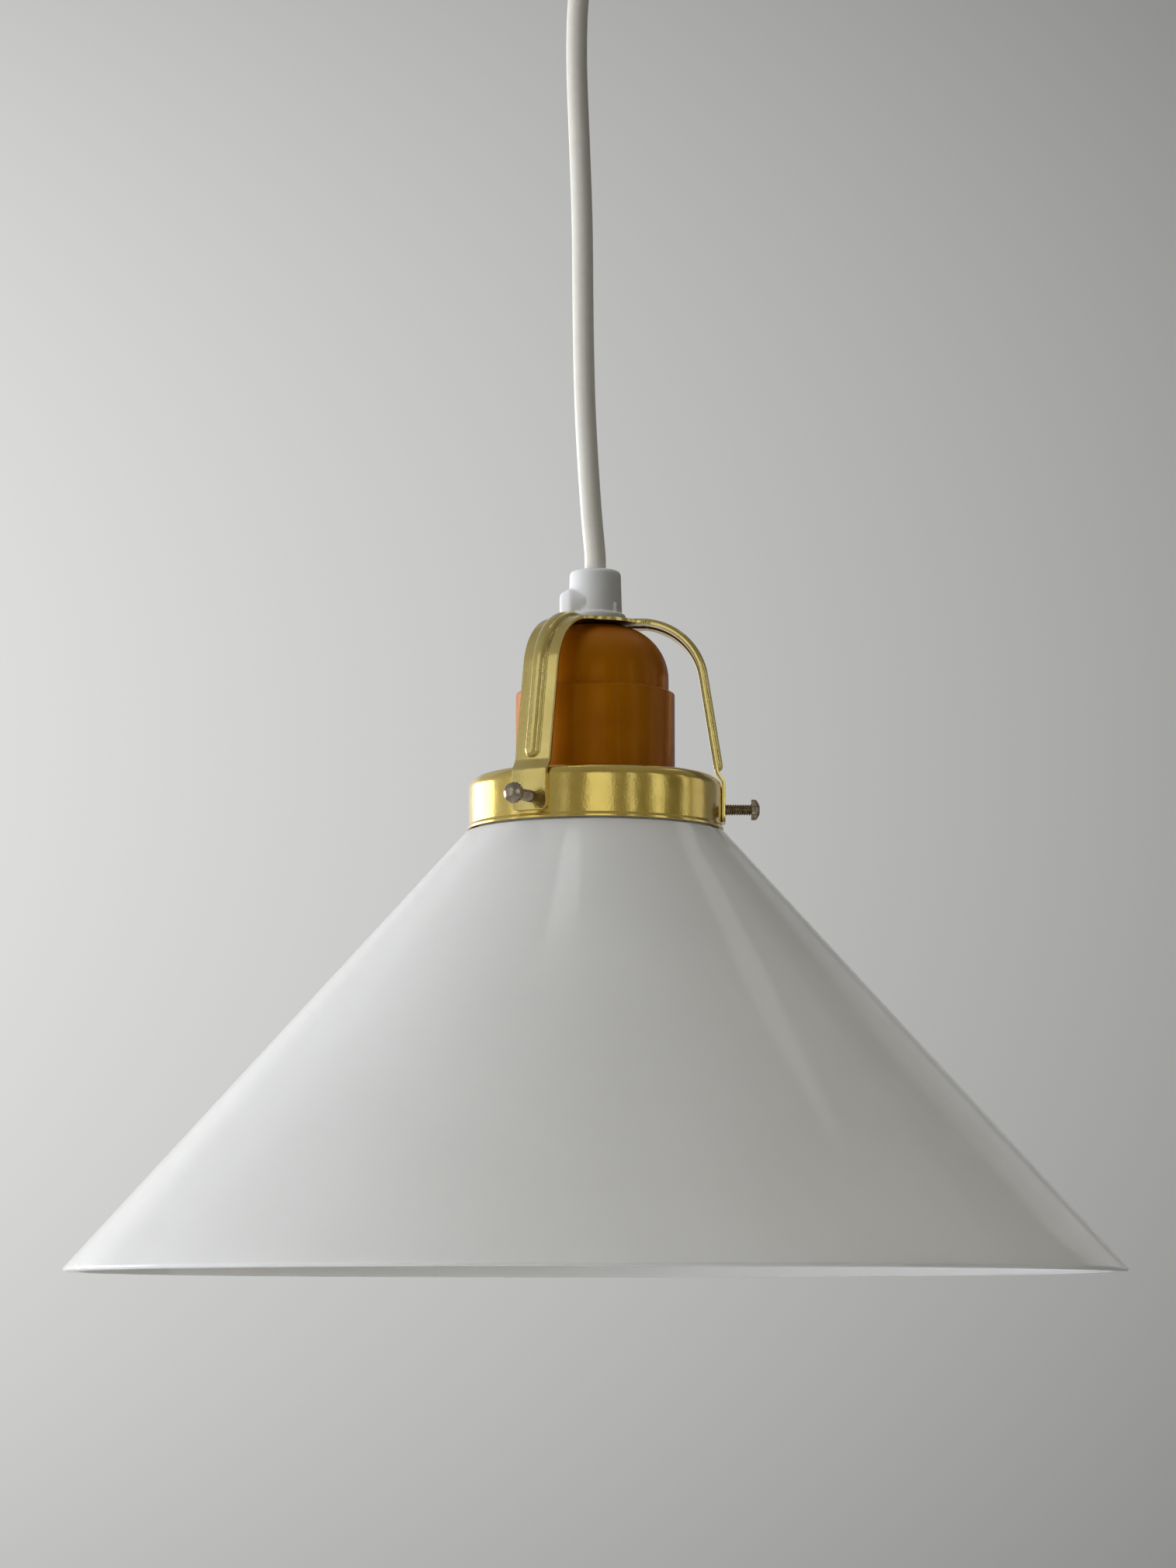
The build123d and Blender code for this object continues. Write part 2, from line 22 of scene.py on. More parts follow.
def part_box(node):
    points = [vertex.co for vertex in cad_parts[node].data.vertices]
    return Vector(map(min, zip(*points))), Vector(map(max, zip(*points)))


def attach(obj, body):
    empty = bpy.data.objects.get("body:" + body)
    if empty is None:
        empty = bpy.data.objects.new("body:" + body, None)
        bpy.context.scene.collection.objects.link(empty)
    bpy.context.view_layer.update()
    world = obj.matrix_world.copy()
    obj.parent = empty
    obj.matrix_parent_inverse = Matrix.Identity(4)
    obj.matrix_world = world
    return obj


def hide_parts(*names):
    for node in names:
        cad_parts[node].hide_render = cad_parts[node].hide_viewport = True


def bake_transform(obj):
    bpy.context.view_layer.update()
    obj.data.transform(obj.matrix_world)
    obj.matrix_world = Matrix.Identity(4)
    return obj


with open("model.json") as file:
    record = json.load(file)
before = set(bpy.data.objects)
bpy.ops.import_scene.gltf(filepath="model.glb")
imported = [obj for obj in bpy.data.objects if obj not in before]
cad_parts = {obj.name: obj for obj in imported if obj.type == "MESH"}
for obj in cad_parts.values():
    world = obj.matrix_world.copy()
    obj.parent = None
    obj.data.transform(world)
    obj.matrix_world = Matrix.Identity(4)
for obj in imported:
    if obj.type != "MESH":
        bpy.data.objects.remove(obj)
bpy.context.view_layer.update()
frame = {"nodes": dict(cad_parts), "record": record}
MM = 0.001

# %% [markdown]
# ## Where things are
#
# A turned piece needs only radii and heights. The main levels and outer radii are read from the
# boxes of the frame's pieces. What a box doesn't show, such as walls, bores and rounded edges, is
# written here again, so it has to be changed here too if the engineering model changes. Heights are
# counted from the ceiling, which is zero, downwards.

# %% Levels that several pieces share
ring_foot, ring_top = (corner.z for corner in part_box("gallery_ring"))
spider_sheet = 0.8 * MM
cap_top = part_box("holder_cap")[1].z
hub_top = cap_top + spider_sheet
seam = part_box("holder_skirt")[1].z
grip_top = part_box("lower_cord_grip")[1].z
screw_axis = sum(corner.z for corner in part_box("thumbscrew_shank_1")) / 2
arm_angles = [0, 120, 240]
print("ring foot at", round(ring_foot / MM, 2), "mm, hub top at", round(hub_top / MM, 2), "mm")

# %% [markdown]
# ## The camera
#
# The light is seen from about a metre away and from just below its rim, with the camera tilted up
# a little, as one looks at a lamp over a table. A lens of 94 mm, a long one, suits that distance.

# %% Camera
def in_scene(name, data):
    """A new object in the scene, which holds this data."""
    thing = bpy.data.objects.new(name, data)
    bpy.context.scene.collection.objects.link(thing)
    return thing


camera_away, camera_below_ring = 973.2 * MM, 115.5 * MM
camera_tilt, camera_pan = 7.432, 0.104        # degrees up and to the left
camera_data = bpy.data.cameras.new("camera")
camera_data.lens = 93.87
camera_data.sensor_width = 36
camera = in_scene("camera", camera_data)
camera.location = (0.0, -camera_away, ring_foot - camera_below_ring)
camera.rotation_euler = (math.radians(90 + camera_tilt), 0, math.radians(camera_pan))
bpy.context.scene.camera = camera
print("camera", round(camera_away, 2), "m away")

# %% [markdown]
# ## Small helpers
#
# Colours are written as sRGB hex values, as a paint chart gives them, and turned to the linear
# values that the renderer works in. `add_node` adds one node with its settings and its inputs,
# where an input is a plain value or another node. It serves shader trees and geometry trees alike.

# %% Colour and node helpers
def linear(hex_colour):
    """An sRGB hex colour as linear RGBA."""
    channels = [int(hex_colour[i:i + 2], 16) / 255 for i in (1, 3, 5)]
    return [c / 12.92 if c <= 0.04045 else ((c + 0.055) / 1.055) ** 2.4 for c in channels] + [1.0]


def add_node(tree, kind, *inputs, **settings):
    """One node in tree. Its kind may carry an operation, as in "ShaderNodeMath ADD".

    The inputs are values in the order of the sockets, or one dictionary by name or number. A node
    or a socket among them is linked.
    """
    kind, *operation = kind.split()
    node = tree.nodes.new(kind)
    if operation:
        node.operation = operation[0]
    for name, value in settings.items():
        setattr(node, name, value)
    named = inputs[0] if inputs and isinstance(inputs[0], dict) else dict(enumerate(inputs))
    for name, value in named.items():
        if isinstance(value, bpy.types.Node):
            value = value.outputs[0]
        if isinstance(value, bpy.types.NodeSocket):
            tree.links.new(value, node.inputs[name])
        else:
            node.inputs[name].default_value = value
    return node


def new_material(name):
    """A new material, its tree and its main shader."""
    material = bpy.data.materials.new(name)
    material.use_nodes = True
    tree = material.node_tree
    return material, tree, tree.nodes["Principled BSDF"]


print("a mid grey, #808080, is", round(linear("#808080")[0], 3), "in linear light")

# %% [markdown]
# ## Turned pieces
#
# The shade, the ring, the lampholder and the heads of the screws are all turned: each is one
# outline taken round an axis. In Blender that could be a Screw modifier or a bmesh spin. Here it
# is one Geometry Nodes tree, because the same tree can also cut flutes round a knurled head and
# give blown glass its slight ripple, which a plain spin can't.
#
# The tree makes a grid. Each row of the grid is one direction round the axis, and each column is
# one point of the outline, which is looked up by its number.

# %% An outline with rounded corners
def rounded(corners, closed=True, step=9):
    """Points of an outline of (x, z, corner radius) in millimetres, as (x, z) in metres.

    Step is how many degrees of an arc one run between two points covers.
    """
    points = [Vector((x, z)) for x, z, _ in corners]
    outline = []
    for index, (x, z, radius) in enumerate(corners):
        here = points[index]
        if radius == 0 or (not closed and index in (0, len(corners) - 1)):
            outline.append(here)
            continue
        back = (points[index - 1] - here).normalized()
        ahead = (points[(index + 1) % len(points)] - here).normalized()
        half = back.angle(ahead) / 2
        centre = here + (back + ahead).normalized() * (radius / math.sin(half))
        start = here + back * (radius / math.tan(half)) - centre
        turn = math.pi - 2 * half
        if back.x * ahead.y - back.y * ahead.x > 0:
            turn = -turn
        count = max(2, math.ceil(math.degrees(abs(turn)) / step))
        for k in range(count + 1):
            cosine, sine = math.cos(turn * k / count), math.sin(turn * k / count)
            arm = Vector((start.x * cosine - start.y * sine, start.x * sine + start.y * cosine))
            outline.append(centre + arm)
    return [(point.x * MM, point.y * MM) for point in outline]


print("a rounded square has", len(rounded([(1, 0, 1), (9, 0, 1), (9, 8, 1), (1, 8, 1)])), "points")

# %% The start and the end of a geometry tree
def start_tree(name, inputs):
    """A geometry tree with named inputs, and those inputs as sockets."""
    tree = bpy.data.node_groups.new(name, "GeometryNodeTree")
    tree.interface.new_socket("Geometry", in_out="INPUT", socket_type="NodeSocketGeometry")
    for label, kind, value in inputs:
        socket = tree.interface.new_socket(label, in_out="INPUT", socket_type="NodeSocket" + kind)
        if value is not None:
            socket.default_value = value
    tree.interface.new_socket("Geometry", in_out="OUTPUT", socket_type="NodeSocketGeometry")
    return tree, tree.nodes.new("NodeGroupInput").outputs


def rings_round_axis(tree, given, along):
    """A grid with a row for each direction round the axis and a column for each step along it.

    Returns the grid and each point's column, share of a turn, angle and direction.
    """
    add = partial(add_node, tree)
    columns = add("ShaderNodeMath ADD", given[along], 1)
    rows = add("ShaderNodeMath ADD", given["Segments"], 1)
    grid = add("GeometryNodeMeshGrid", {"Vertices X": rows, "Vertices Y": columns})
    number = add("GeometryNodeInputIndex")
    column = add("ShaderNodeMath MODULO", number, columns)
    row = add("ShaderNodeMath FLOOR", add("ShaderNodeMath DIVIDE", number, columns))
    turn = add("ShaderNodeMath DIVIDE", row, given["Segments"])
    angle = add("ShaderNodeMath MULTIPLY", turn, math.tau)
    cosine, sine = add("ShaderNodeMath COSINE", angle), add("ShaderNodeMath SINE", angle)
    return grid, column, turn, angle, add("ShaderNodeCombineXYZ", {"X": cosine, "Y": sine})


def end_tree(tree, grid, place, material):
    """Put the grid's points in place, merge seams and poles, realize and set the material."""
    add = partial(add_node, tree)
    shape = add("GeometryNodeSetPosition", {"Geometry": grid.outputs["Mesh"], "Position": place})
    shape = add("GeometryNodeMergeByDistance", {"Geometry": shape, "Distance": 1e-6})
    shape = add("GeometryNodeRealizeInstances", {"Geometry": shape})
    shape = add("GeometryNodeSetMaterial", {"Geometry": shape, "Material": material})
    add("NodeGroupOutput", {"Geometry": shape})
    print("the", tree.name, "tree has", len(tree.nodes), "nodes")

# %% The tree that turns an outline
turning, given = start_tree(
    "turning",
    [
        ("Segments", "Int", 96),
        ("Outline points", "Int", 8),
        ("Flutes", "Int", 0),
        ("Flute depth", "Float", 0.0),
        ("Flutes start at", "Float", 0.0),
        ("Ripple", "Float", 0.0),
        ("Ripple size", "Float", 0.05),
        ("Material", "Material", None),
    ],
)
add = partial(add_node, turning)
grid, column, turn, angle, direction = rings_round_axis(turning, given, "Outline points")
point = add("ShaderNodeMath MODULO", column, given["Outline points"])
looked_up = add(
    "GeometryNodeSampleIndex",
    {"Geometry": given["Geometry"], "Value": add("GeometryNodeInputPosition"), "Index": point},
    data_type="FLOAT_VECTOR",
    domain="POINT",
)
place = add("ShaderNodeSeparateXYZ", looked_up)
radius, height = place.outputs["X"], place.outputs["Z"]

# flutes: the radius dips that many times round the axis, but only outside a start radius
waves = add("ShaderNodeMath COSINE", add("ShaderNodeMath MULTIPLY", angle, given["Flutes"]))
dip = {"Value": waves, "From Min": 1.0, "From Max": -1.0, "To Max": given["Flute depth"]}
dip = add("ShaderNodeMapRange", dip)
outside = add("ShaderNodeMath GREATER_THAN", radius, given["Flutes start at"])
fluted = add("ShaderNodeMath SUBTRACT", radius, add("ShaderNodeMath MULTIPLY", dip, outside))

# ripple: slow noise moves the surface in and out
level = add("ShaderNodeCombineXYZ", {"Z": height})
true_place = add("ShaderNodeVectorMath MULTIPLY_ADD", direction, fluted, level)
grain = add("ShaderNodeMath DIVIDE", 1.0, given["Ripple size"])
noise = add("ShaderNodeTexNoise", {"Vector": true_place, "Scale": grain, "Detail": 1.0})
swell = add("ShaderNodeMath SUBTRACT", noise.outputs["Fac"], 0.5)
swell = add("ShaderNodeMath MULTIPLY", swell, given["Ripple"])
swollen = add("ShaderNodeMath ADD", fluted, swell)
place = add("ShaderNodeVectorMath MULTIPLY_ADD", direction, swollen, level)
end_tree(turning, grid, place, given["Material"])

# %% Run a tree, and turn an outline
def as_plain_mesh(carrier, *helpers):
    """The mesh of an object after its modifiers. The object and its helpers are removed."""
    graph = bpy.context.evaluated_depsgraph_get()
    mesh = bpy.data.meshes.new_from_object(carrier.evaluated_get(graph), depsgraph=graph)
    for thing in (carrier, *helpers):
        bpy.data.objects.remove(thing)
    return mesh


def run_tree(tree, source, values):
    """The plain mesh that a tree makes from a source mesh, with its inputs set by name."""
    carrier = in_scene("carrier", source)
    modifier = carrier.modifiers.new("tree", "NODES")
    modifier.node_group = tree
    for item in tree.interface.items_tree:
        if item.in_out == "INPUT" and item.name in values:
            modifier[item.identifier] = values[item.name]
    return as_plain_mesh(carrier)


def face_outwards(mesh):
    """Merge doubles, drop what has no area and point every face outwards."""
    work = bmesh.new()
    work.from_mesh(mesh)
    bmesh.ops.remove_doubles(work, verts=work.verts, dist=1e-6)
    bmesh.ops.dissolve_degenerate(work, edges=work.edges, dist=1e-7)
    bmesh.ops.recalc_face_normals(work, faces=work.faces)
    work.to_mesh(mesh)
    work.free()
    return mesh


def turned(outline, material, segments=96, **extras):
    """A mesh turned about Z from an outline of (radius, height) points in metres."""
    source = bpy.data.meshes.new("outline")
    source.from_pydata([(x, 0, z) for x, z in outline], [], [])
    values = {"Segments": segments, "Outline points": len(outline), "Material": material}
    values.update({name.replace("_", " ").capitalize(): value for name, value in extras.items()})
    return face_outwards(run_tree(turning, source, values))


def above_foot(corners):
    """Corners whose heights are above the ring's foot, as heights from the ceiling."""
    return [(x, z + ring_foot / MM, radius) for x, z, radius in corners]


def smoothed(mesh, sharp):
    """The mesh with smooth faces, and sharp creases where it turns by more than this angle."""
    mesh.shade_smooth()
    mesh.set_sharp_from_angle(angle=math.radians(sharp))
    return mesh


def add_piece(name, mesh, body, node, sharp=35):
    """A finished piece, the body it rides on and the node it stands for."""
    piece = in_scene(name, smoothed(mesh, sharp))
    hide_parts(node)
    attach(piece, body)
    print(name, len(mesh.polygons), "faces")

# %% [markdown]
# ## Finishes
#
# Each finish is made once, from what the real material is and how its surface was made. It has
# plain values, which are the same all over, patches, where a value or a colour wanders, and
# grains, which are fine bumps. Patches and grains are sized in millimetres on Object coordinates,
# so that they keep their size on every piece.

# %% Patches, grains and a whole finish
def wandering(tree, size, detail):
    """Noise that changes over this many millimetres, and its value at each place."""
    places = add_node(tree, "ShaderNodeTexCoord").outputs["Object"]
    scale = 1 / (size * MM)
    noise = add_node(tree, "ShaderNodeTexNoise", {"Vector": places, "Scale": scale, "Detail": detail})
    return noise.outputs["Fac"]


def mottled(tree, socket, size, low, high):
    """Fill a socket with a value or colour that wanders between low and high over patches."""
    values = {"Value": wandering(tree, size, 3.0), "From Min": 0.3, "From Max": 0.7}
    spread = add_node(tree, "ShaderNodeMapRange", values)
    if isinstance(low, str):
        colours = {0: spread, 6: linear(low), 7: linear(high)}
        tree.links.new(add_node(tree, "ShaderNodeMix", colours, data_type="RGBA").outputs[2], socket)
    else:
        spread.inputs["To Min"].default_value = low
        spread.inputs["To Max"].default_value = high
        tree.links.new(spread.outputs[0], socket)


def finish(name, plain, patches, *grains):
    """A material from plain values, patches (size, low, high) and grains (size, depth, detail).

    The patches are by socket. The grains come coarsest first, each on top of the one before.
    """
    material, tree, shader = new_material(name)
    for label, value in plain.items():
        shader.inputs[label].default_value = value
    for label, patch in patches.items():
        mottled(tree, shader.inputs[label], *patch)
    normal = {}
    for size, depth, detail in grains:
        height = wandering(tree, size, detail)
        bump = {"Height": height, "Distance": depth * MM, "Strength": 1.0, **normal}
        normal = {"Normal": add_node(tree, "ShaderNodeBump", bump)}
    tree.links.new(normal["Normal"].outputs["Normal"], shader.inputs["Normal"])
    return material


print("noise that changes over 0.5 mm has a scale of", round(1 / (0.5 * MM)))

# %% Opal glass
# Opal glass is white because it scatters light inside, and its skin is fire-polished. That gives
# the eye a soft white body under a sharp, faint reflection.
opal = finish(
    "opal glass, fire-polished",
    {
        "Roughness": 0.09,
        "IOR": 1.52,
        "Subsurface Weight": 1.0,
        "Subsurface Scale": 5 * MM,
        "Subsurface Radius": (1.0, 0.95, 0.9),
    },
    {"Base Color": (60, "#DDDDDC", "#E2E2E1")},
    (14, 0.03, 1.0),
)
print(opal.name)

# %% Brass, amber lacquer, nickel and zinc
def lacquered_brass(name, low, high, peel_depth):
    """Brass under clear lacquer: a bright metal whose reflections break up into a fine sparkle.

    The finer grain is the lacquer's orange peel. It is about 0.2 mm on the real one, and drawn at
    0.5 mm, because finer grain wouldn't show.
    """
    plain = {"Metallic": 1.0, "Coat Weight": 0.5, "Coat Roughness": 0.05}
    patches = {"Base Color": (9, low, high), "Roughness": (5, 0.15, 0.22)}
    return finish(name, plain, patches, (4.0, 0.05, 1.0), (0.5, peel_depth, 2.0))


def bare_metal(name, colours, roughness, grain):
    """A metal with no lacquer: colour in patches, roughness in patches and one grain."""
    return finish(name, {"Metallic": 1.0}, {"Base Color": colours, "Roughness": roughness}, grain)


brass = lacquered_brass("brass, spun and lacquered", "#DABC5E", "#E2C76E", 0.022)
pressed_brass = lacquered_brass("pale brass, pressed and lacquered", "#D0B96A", "#DAC57A", 0.03)

# Spun metal under tinted lacquer is deep amber and satin. The pigment in the lacquer scatters the
# light, and only a part of it comes back off the metal, so the finish is only partly metallic. Its
# gloss is tinted too. A fine grain, drawn as coarse as it needs to show, sparkles a little.
amber = finish(
    "spun metal, amber lacquer",
    {
        "Metallic": 0.28,
        "Specular Tint": linear("#C87A10"),
        "Coat Weight": 0.06,
        "Coat Roughness": 0.06,
    },
    {"Base Color": (12, "#B46E05", "#A86202"), "Roughness": (3, 0.36, 0.44)},
    (5.0, 0.03, 1.0),
    (0.35, 0.02, 2.0),
)

# Nickel plate gone dull: grey metal with brown tarnish in patches.
nickel = bare_metal(
    "nickel plate, tarnished", (1.5, "#8A7A66", "#B0A492"), (0.8, 0.12, 0.24), (0.6, 0.012, 2.0)
)

# Thin brass, deep drawn and left bare: warm, and a little darker than the polished pieces.
bare_brass = bare_metal(
    "brass, drawn and bare", (4, "#C9A352", "#B58D40"), (2, 0.24, 0.36), (0.6, 0.01, 2.0)
)

# Bright zinc plate on mild steel: cool grey with a faint bluish bloom.
zinc = bare_metal(
    "steel, zinc plated", (3, "#AEB3B6", "#C3C6C4"), (2, 0.28, 0.42), (0.5, 0.008, 2.0)
)
print("metals:", [m.name for m in (brass, pressed_brass, amber, nickel, bare_brass, zinc)])

# %% Plastics and porcelain
def plain_plastic(name, low, high, roughness, grain, depth, scatter=0.1):
    """A moulded or extruded plastic: its colour, its gloss and the grain that its tool left."""
    plain = {
        "Roughness": roughness,
        "IOR": 1.5,
        "Subsurface Weight": scatter,
        "Subsurface Scale": 1 * MM,
    }
    return finish(name, plain, {"Base Color": (2.5, low, high)}, (grain, depth, 2.0))


# Extruded PVC comes out smooth: it is the glossiest of the plastics, and a little uneven.
flex_pvc = plain_plastic("PVC sheath, extruded", "#E6E2D6", "#EAE7DD", 0.22, 1.2, 0.012, scatter=0.03)
# Moulded polycarbonate is satin, from the tool's fine texture, and this one is a warm white.
moulded_white = plain_plastic(
    "white polycarbonate, moulded", "#F3E9D6", "#F7F0E0", 0.38, 0.3, 0.006, scatter=0.05
)
# Natural nylon is milky and nearly matt. The PVC of the cores is dyed through, and satin.
nylon = plain_plastic("natural nylon, moulded", "#E4E1D4", "#EAE7DC", 0.48, 0.5, 0.01)
brown_pvc = plain_plastic("brown PVC, extruded", "#4A2A18", "#56311D", 0.4, 0.6, 0.006)
blue_pvc = plain_plastic("blue PVC, extruded", "#1F4E9A", "#2458A8", 0.4, 0.6, 0.006)

# Electrical porcelain: off-white under a clear glaze that pools a little.
porcelain = finish(
    "porcelain, white glaze",
    {"Roughness": 0.3, "Coat Weight": 0.8, "Coat Roughness": 0.06},
    {"Base Color": (3, "#E6E3DA", "#EDEBE4")},
    (1.5, 0.01, 2.0),
)
print("plastics:", [m.name for m in (flex_pvc, moulded_white, nylon, brown_pvc, blue_pvc)])

# %% [markdown]
# ## Pieces that keep their engineering shape
#
# The rose, its bracket and block, the nuts, cores, terminals and the porcelain already have their
# true shape. They stay, and take their finish here, by slot, as the record names them.

# %% Finish the engineering pieces
finishes = {
    "white_plastic": moulded_white,
    "white_pvc": flex_pvc,
    "bracket_steel": zinc,
    "screw_steel": zinc,
    "block_plastic": nylon,
    "terminal_brass": bare_brass,
    "live_sheath": brown_pvc,
    "neutral_sheath": blue_pvc,
    "polished_brass": brass,
    "amber_shell": amber,
    "porcelain": porcelain,
    "socket_brass": bare_brass,
    "dull_nickel": nickel,
    "opal_glass": opal,
}
slot_of = {row["node"]: row["material_slot"] for row in frame["record"]["subparts"]}
for node, piece in frame["nodes"].items():
    for material_slot in piece.material_slots:
        material_slot.material = finishes[slot_of[node]]
print("finished", len(frame["nodes"]), "engineering pieces")

# %% [markdown]
# ## The flex
#
# The cord is one length of round two-core flex. It comes out of the rose, keeps a little of the
# curl that it was packed with, and goes into the grip on the lampholder. The light swings on it
# in two hinges just under the rose, so the flex is made in two lengths that meet between the
# hinges. Each length follows a NURBS curve with given control points, because that is smooth as
# a real flex is.

# %% The flex's line, from inside the rose down into the lampholder
flex_diameter = 5.15 * MM
link_low, link_high = (corner.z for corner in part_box("cord_link"))
first_bend, second_bend = link_high - flex_diameter / 2, link_low + flex_diameter / 2
flex_middle = (first_bend + second_bend) / 2
flex_top_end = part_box("cord_in_rose")[1].z
flex_low_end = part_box("cord_in_holder")[0].z
straight_in_rose, straight_in_grip = 50 * MM, 9 * MM
curl = [                                      # (x, height above the lower grip) in millimetres
    (-1.2, 158.0),
    (-4.2, 146.0),
    (-4.7, 128.0),
    (-3.9, 108.0),
    (-3.1, 86.0),
    (-3.0, 64.0),
    (-2.6, 42.0),
    (-1.7, 25.0),
    (-0.8, 12.0),
    (0.0, 4.0),
    (0.0, 0.0),
]


def smooth_line(points):
    """Points along one NURBS curve with these control points."""
    curve = bpy.data.curves.new("line", "CURVE")
    curve.dimensions = "3D"
    curve.resolution_u = 16
    spline = curve.splines.new("NURBS")
    spline.points.add(len(points) - 1)
    for control, point in zip(spline.points, points):
        control.co = (*point, 1)
    spline.order_u = 3
    spline.use_endpoint_u = True
    carrier = in_scene("line", curve)
    line = bpy.data.meshes.new_from_object(carrier)
    places = [vertex.co.copy() for vertex in line.vertices]
    bpy.data.objects.remove(carrier)
    return places


upper_line = smooth_line(
    [(0, 0, z) for z in (flex_top_end, -straight_in_rose, first_bend, flex_middle)]
)
lower_line = smooth_line(
    [(0, 0, z) for z in (flex_middle, second_bend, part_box("cord")[1].z)]
    + [(x * MM, 0, grip_top + z * MM) for x, z in curl]
    + [(0, 0, grip_top - straight_in_grip), (0, 0, flex_low_end)]
)
print("flex lines of", len(upper_line), "and", len(lower_line), "points")

# %% A tube along a line, with closed ends
def tube_along(line, radius, sides=28):
    """A tube mesh whose rings stand square to the line, which lies in the XZ plane."""
    vertices, faces = [], []
    across = Vector((0, 1, 0))
    for index, place in enumerate(line):
        ahead = line[min(index + 1, len(line) - 1)] - line[max(index - 1, 0)]
        side = ahead.cross(across).normalized()
        for k in range(sides):
            angle = math.tau * k / sides
            vertices.append(place + radius * (math.cos(angle) * side + math.sin(angle) * across))
    for ring in range(len(line) - 1):
        for k in range(sides):
            a, b = ring * sides + k, ring * sides + (k + 1) % sides
            faces.append((a, b, b + sides, a + sides))
    faces.append(tuple(range(sides)))
    faces.append(tuple(range((len(line) - 1) * sides, len(line) * sides)))
    mesh = bpy.data.meshes.new("tube")
    mesh.from_pydata(vertices, [], faces)
    return face_outwards(mesh)


def add_flex(name, line, blend_between, bend_height, *stands_for):
    """One length of flex along a line. blend_between and bend_height are not used."""
    mesh = tube_along(line, flex_diameter / 2)
    mesh.materials.append(flex_pvc)
    flex = in_scene(name, smoothed(mesh, 50))
    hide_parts(*stands_for)
    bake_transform(flex)


add_flex(
    "flex_top", upper_line, ("ceiling_rose", "cord_link"), first_bend, "cord_in_rose", "cord_link"
)
add_flex("flex", lower_line, ("cord_link", "cord"), second_bend, "cord", "cord_in_holder")

# %% [markdown]
# ## The shade
#
# The shade was blown into a mould: a straight cone with a rounded rim, a small shoulder and a neck
# with a bead, which the thumbscrews hold by. It is turned from one outline, with a ripple far
# finer than its wall, because blown glass is never quite true.

# %% Shade
shade_low, shade_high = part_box("glass_shade")
rim_radius, rim_round = shade_high.x / MM, 0.6
rim_drop, neck_top = (ring_foot - shade_low.z) / MM, (shade_high.z - ring_foot) / MM
shoulder_radius, shoulder_drop = 31.0, 0.45
neck_radius, neck_bore = 28.2, 25.4
bead_radius, bead_foot = 29.1, 6.58
wall = 3.0
# the outer face runs straight from the shoulder and touches the rounding of the rim
span, fall = rim_radius - rim_round - shoulder_radius, rim_drop - rim_round - shoulder_drop
half_angle = math.atan2(span, fall) + math.asin(rim_round / math.hypot(span, fall))
slope, wall_across = math.tan(half_angle), wall / math.cos(half_angle)
rim_outer = shoulder_radius + slope * (rim_drop - shoulder_drop)
inner_drop = shoulder_drop + (neck_bore + wall_across - shoulder_radius) / slope
shade_corners = [
    (neck_bore, neck_top, 0.8),
    (bead_radius, neck_top, 1.2),
    (bead_radius, bead_foot, 0.25),
    (neck_radius, bead_foot, 0.0),
    (neck_radius, -shoulder_drop, 0.9),
    (shoulder_radius, -shoulder_drop, 1.2),
    (rim_outer, -rim_drop, rim_round),
    (rim_outer - wall_across, -rim_drop, rim_round),
    (neck_bore, -inner_drop, 3.0),
]


def subdivided(outline, longest):
    """The outline with its long runs cut into pieces no longer than longest."""
    finer = []
    for (x, z), (next_x, next_z) in zip(outline, outline[1:] + outline[:1]):
        count = max(1, math.ceil(math.hypot(next_x - x, next_z - z) / longest))
        finer += [(x + (next_x - x) * k / count, z + (next_z - z) * k / count) for k in range(count)]
    return finer


shade_outline = subdivided(rounded(above_foot(shade_corners), step=15), 8 * MM)
shade_mesh = turned(shade_outline, opal, segments=192, ripple=0.06 * MM, ripple_size=0.035)
add_piece("shade", shade_mesh, "lamp", "glass_shade", sharp=60)

# %% [markdown]
# ## The gallery ring
#
# The ring is thin sheet brass, spun over a block: a flat top with a hole, a rolled shoulder, a
# straight wall and a foot that is turned out a little to stiffen it. Three holes let the
# thumbscrews through.

# %% Cut round holes through a mesh
def along_arm(angle, distance, height):
    """What lays a shape that was made along Z on an arm, pointing away from the axis."""
    arm = Matrix.Rotation(math.radians(angle), 4, "Z")
    return arm @ Matrix.Translation((distance, 0, height)) @ Matrix.Rotation(math.pi / 2, 4, "Y")


def radial_rod(radius, start, end, angle, height):
    """A closed rod that points away from the axis, from one distance to another."""
    mesh = bpy.data.meshes.new("rod")
    work = bmesh.new()
    bmesh.ops.create_cone(
        work, cap_ends=True, segments=32, radius1=radius, radius2=radius, depth=end - start
    )
    place = along_arm(angle, (start + end) / 2, height)
    bmesh.ops.transform(work, matrix=place, verts=work.verts)
    bmesh.ops.recalc_face_normals(work, faces=work.faces)
    work.to_mesh(mesh)
    work.free()
    return mesh


def after_modifiers(mesh, *modifiers):
    """The mesh after some (kind, settings) modifiers; a mesh in settings becomes an object."""
    carrier, helpers = in_scene("carrier", mesh), []
    for kind, settings in modifiers:
        modifier = carrier.modifiers.new(kind, kind)
        for name, value in settings.items():
            if isinstance(value, bpy.types.Mesh):
                value = in_scene("helper", value)
                helpers.append(value)
            setattr(modifier, name, value)
    return as_plain_mesh(carrier, *helpers)


def cut(operation, mesh):
    """A modifier that joins a mesh on or takes it away."""
    return "BOOLEAN", {"operation": operation, "solver": "EXACT", "object": mesh}


def drilled(mesh, radius, start, end):
    """The mesh with a thumbscrew hole at each of the three arms."""
    rods = [radial_rod(radius, start, end, angle, screw_axis) for angle in arm_angles]
    return after_modifiers(mesh, *(cut("DIFFERENCE", rod) for rod in rods))


print("the holes are", round((screw_axis - ring_foot) / MM, 2), "mm above the ring's foot")

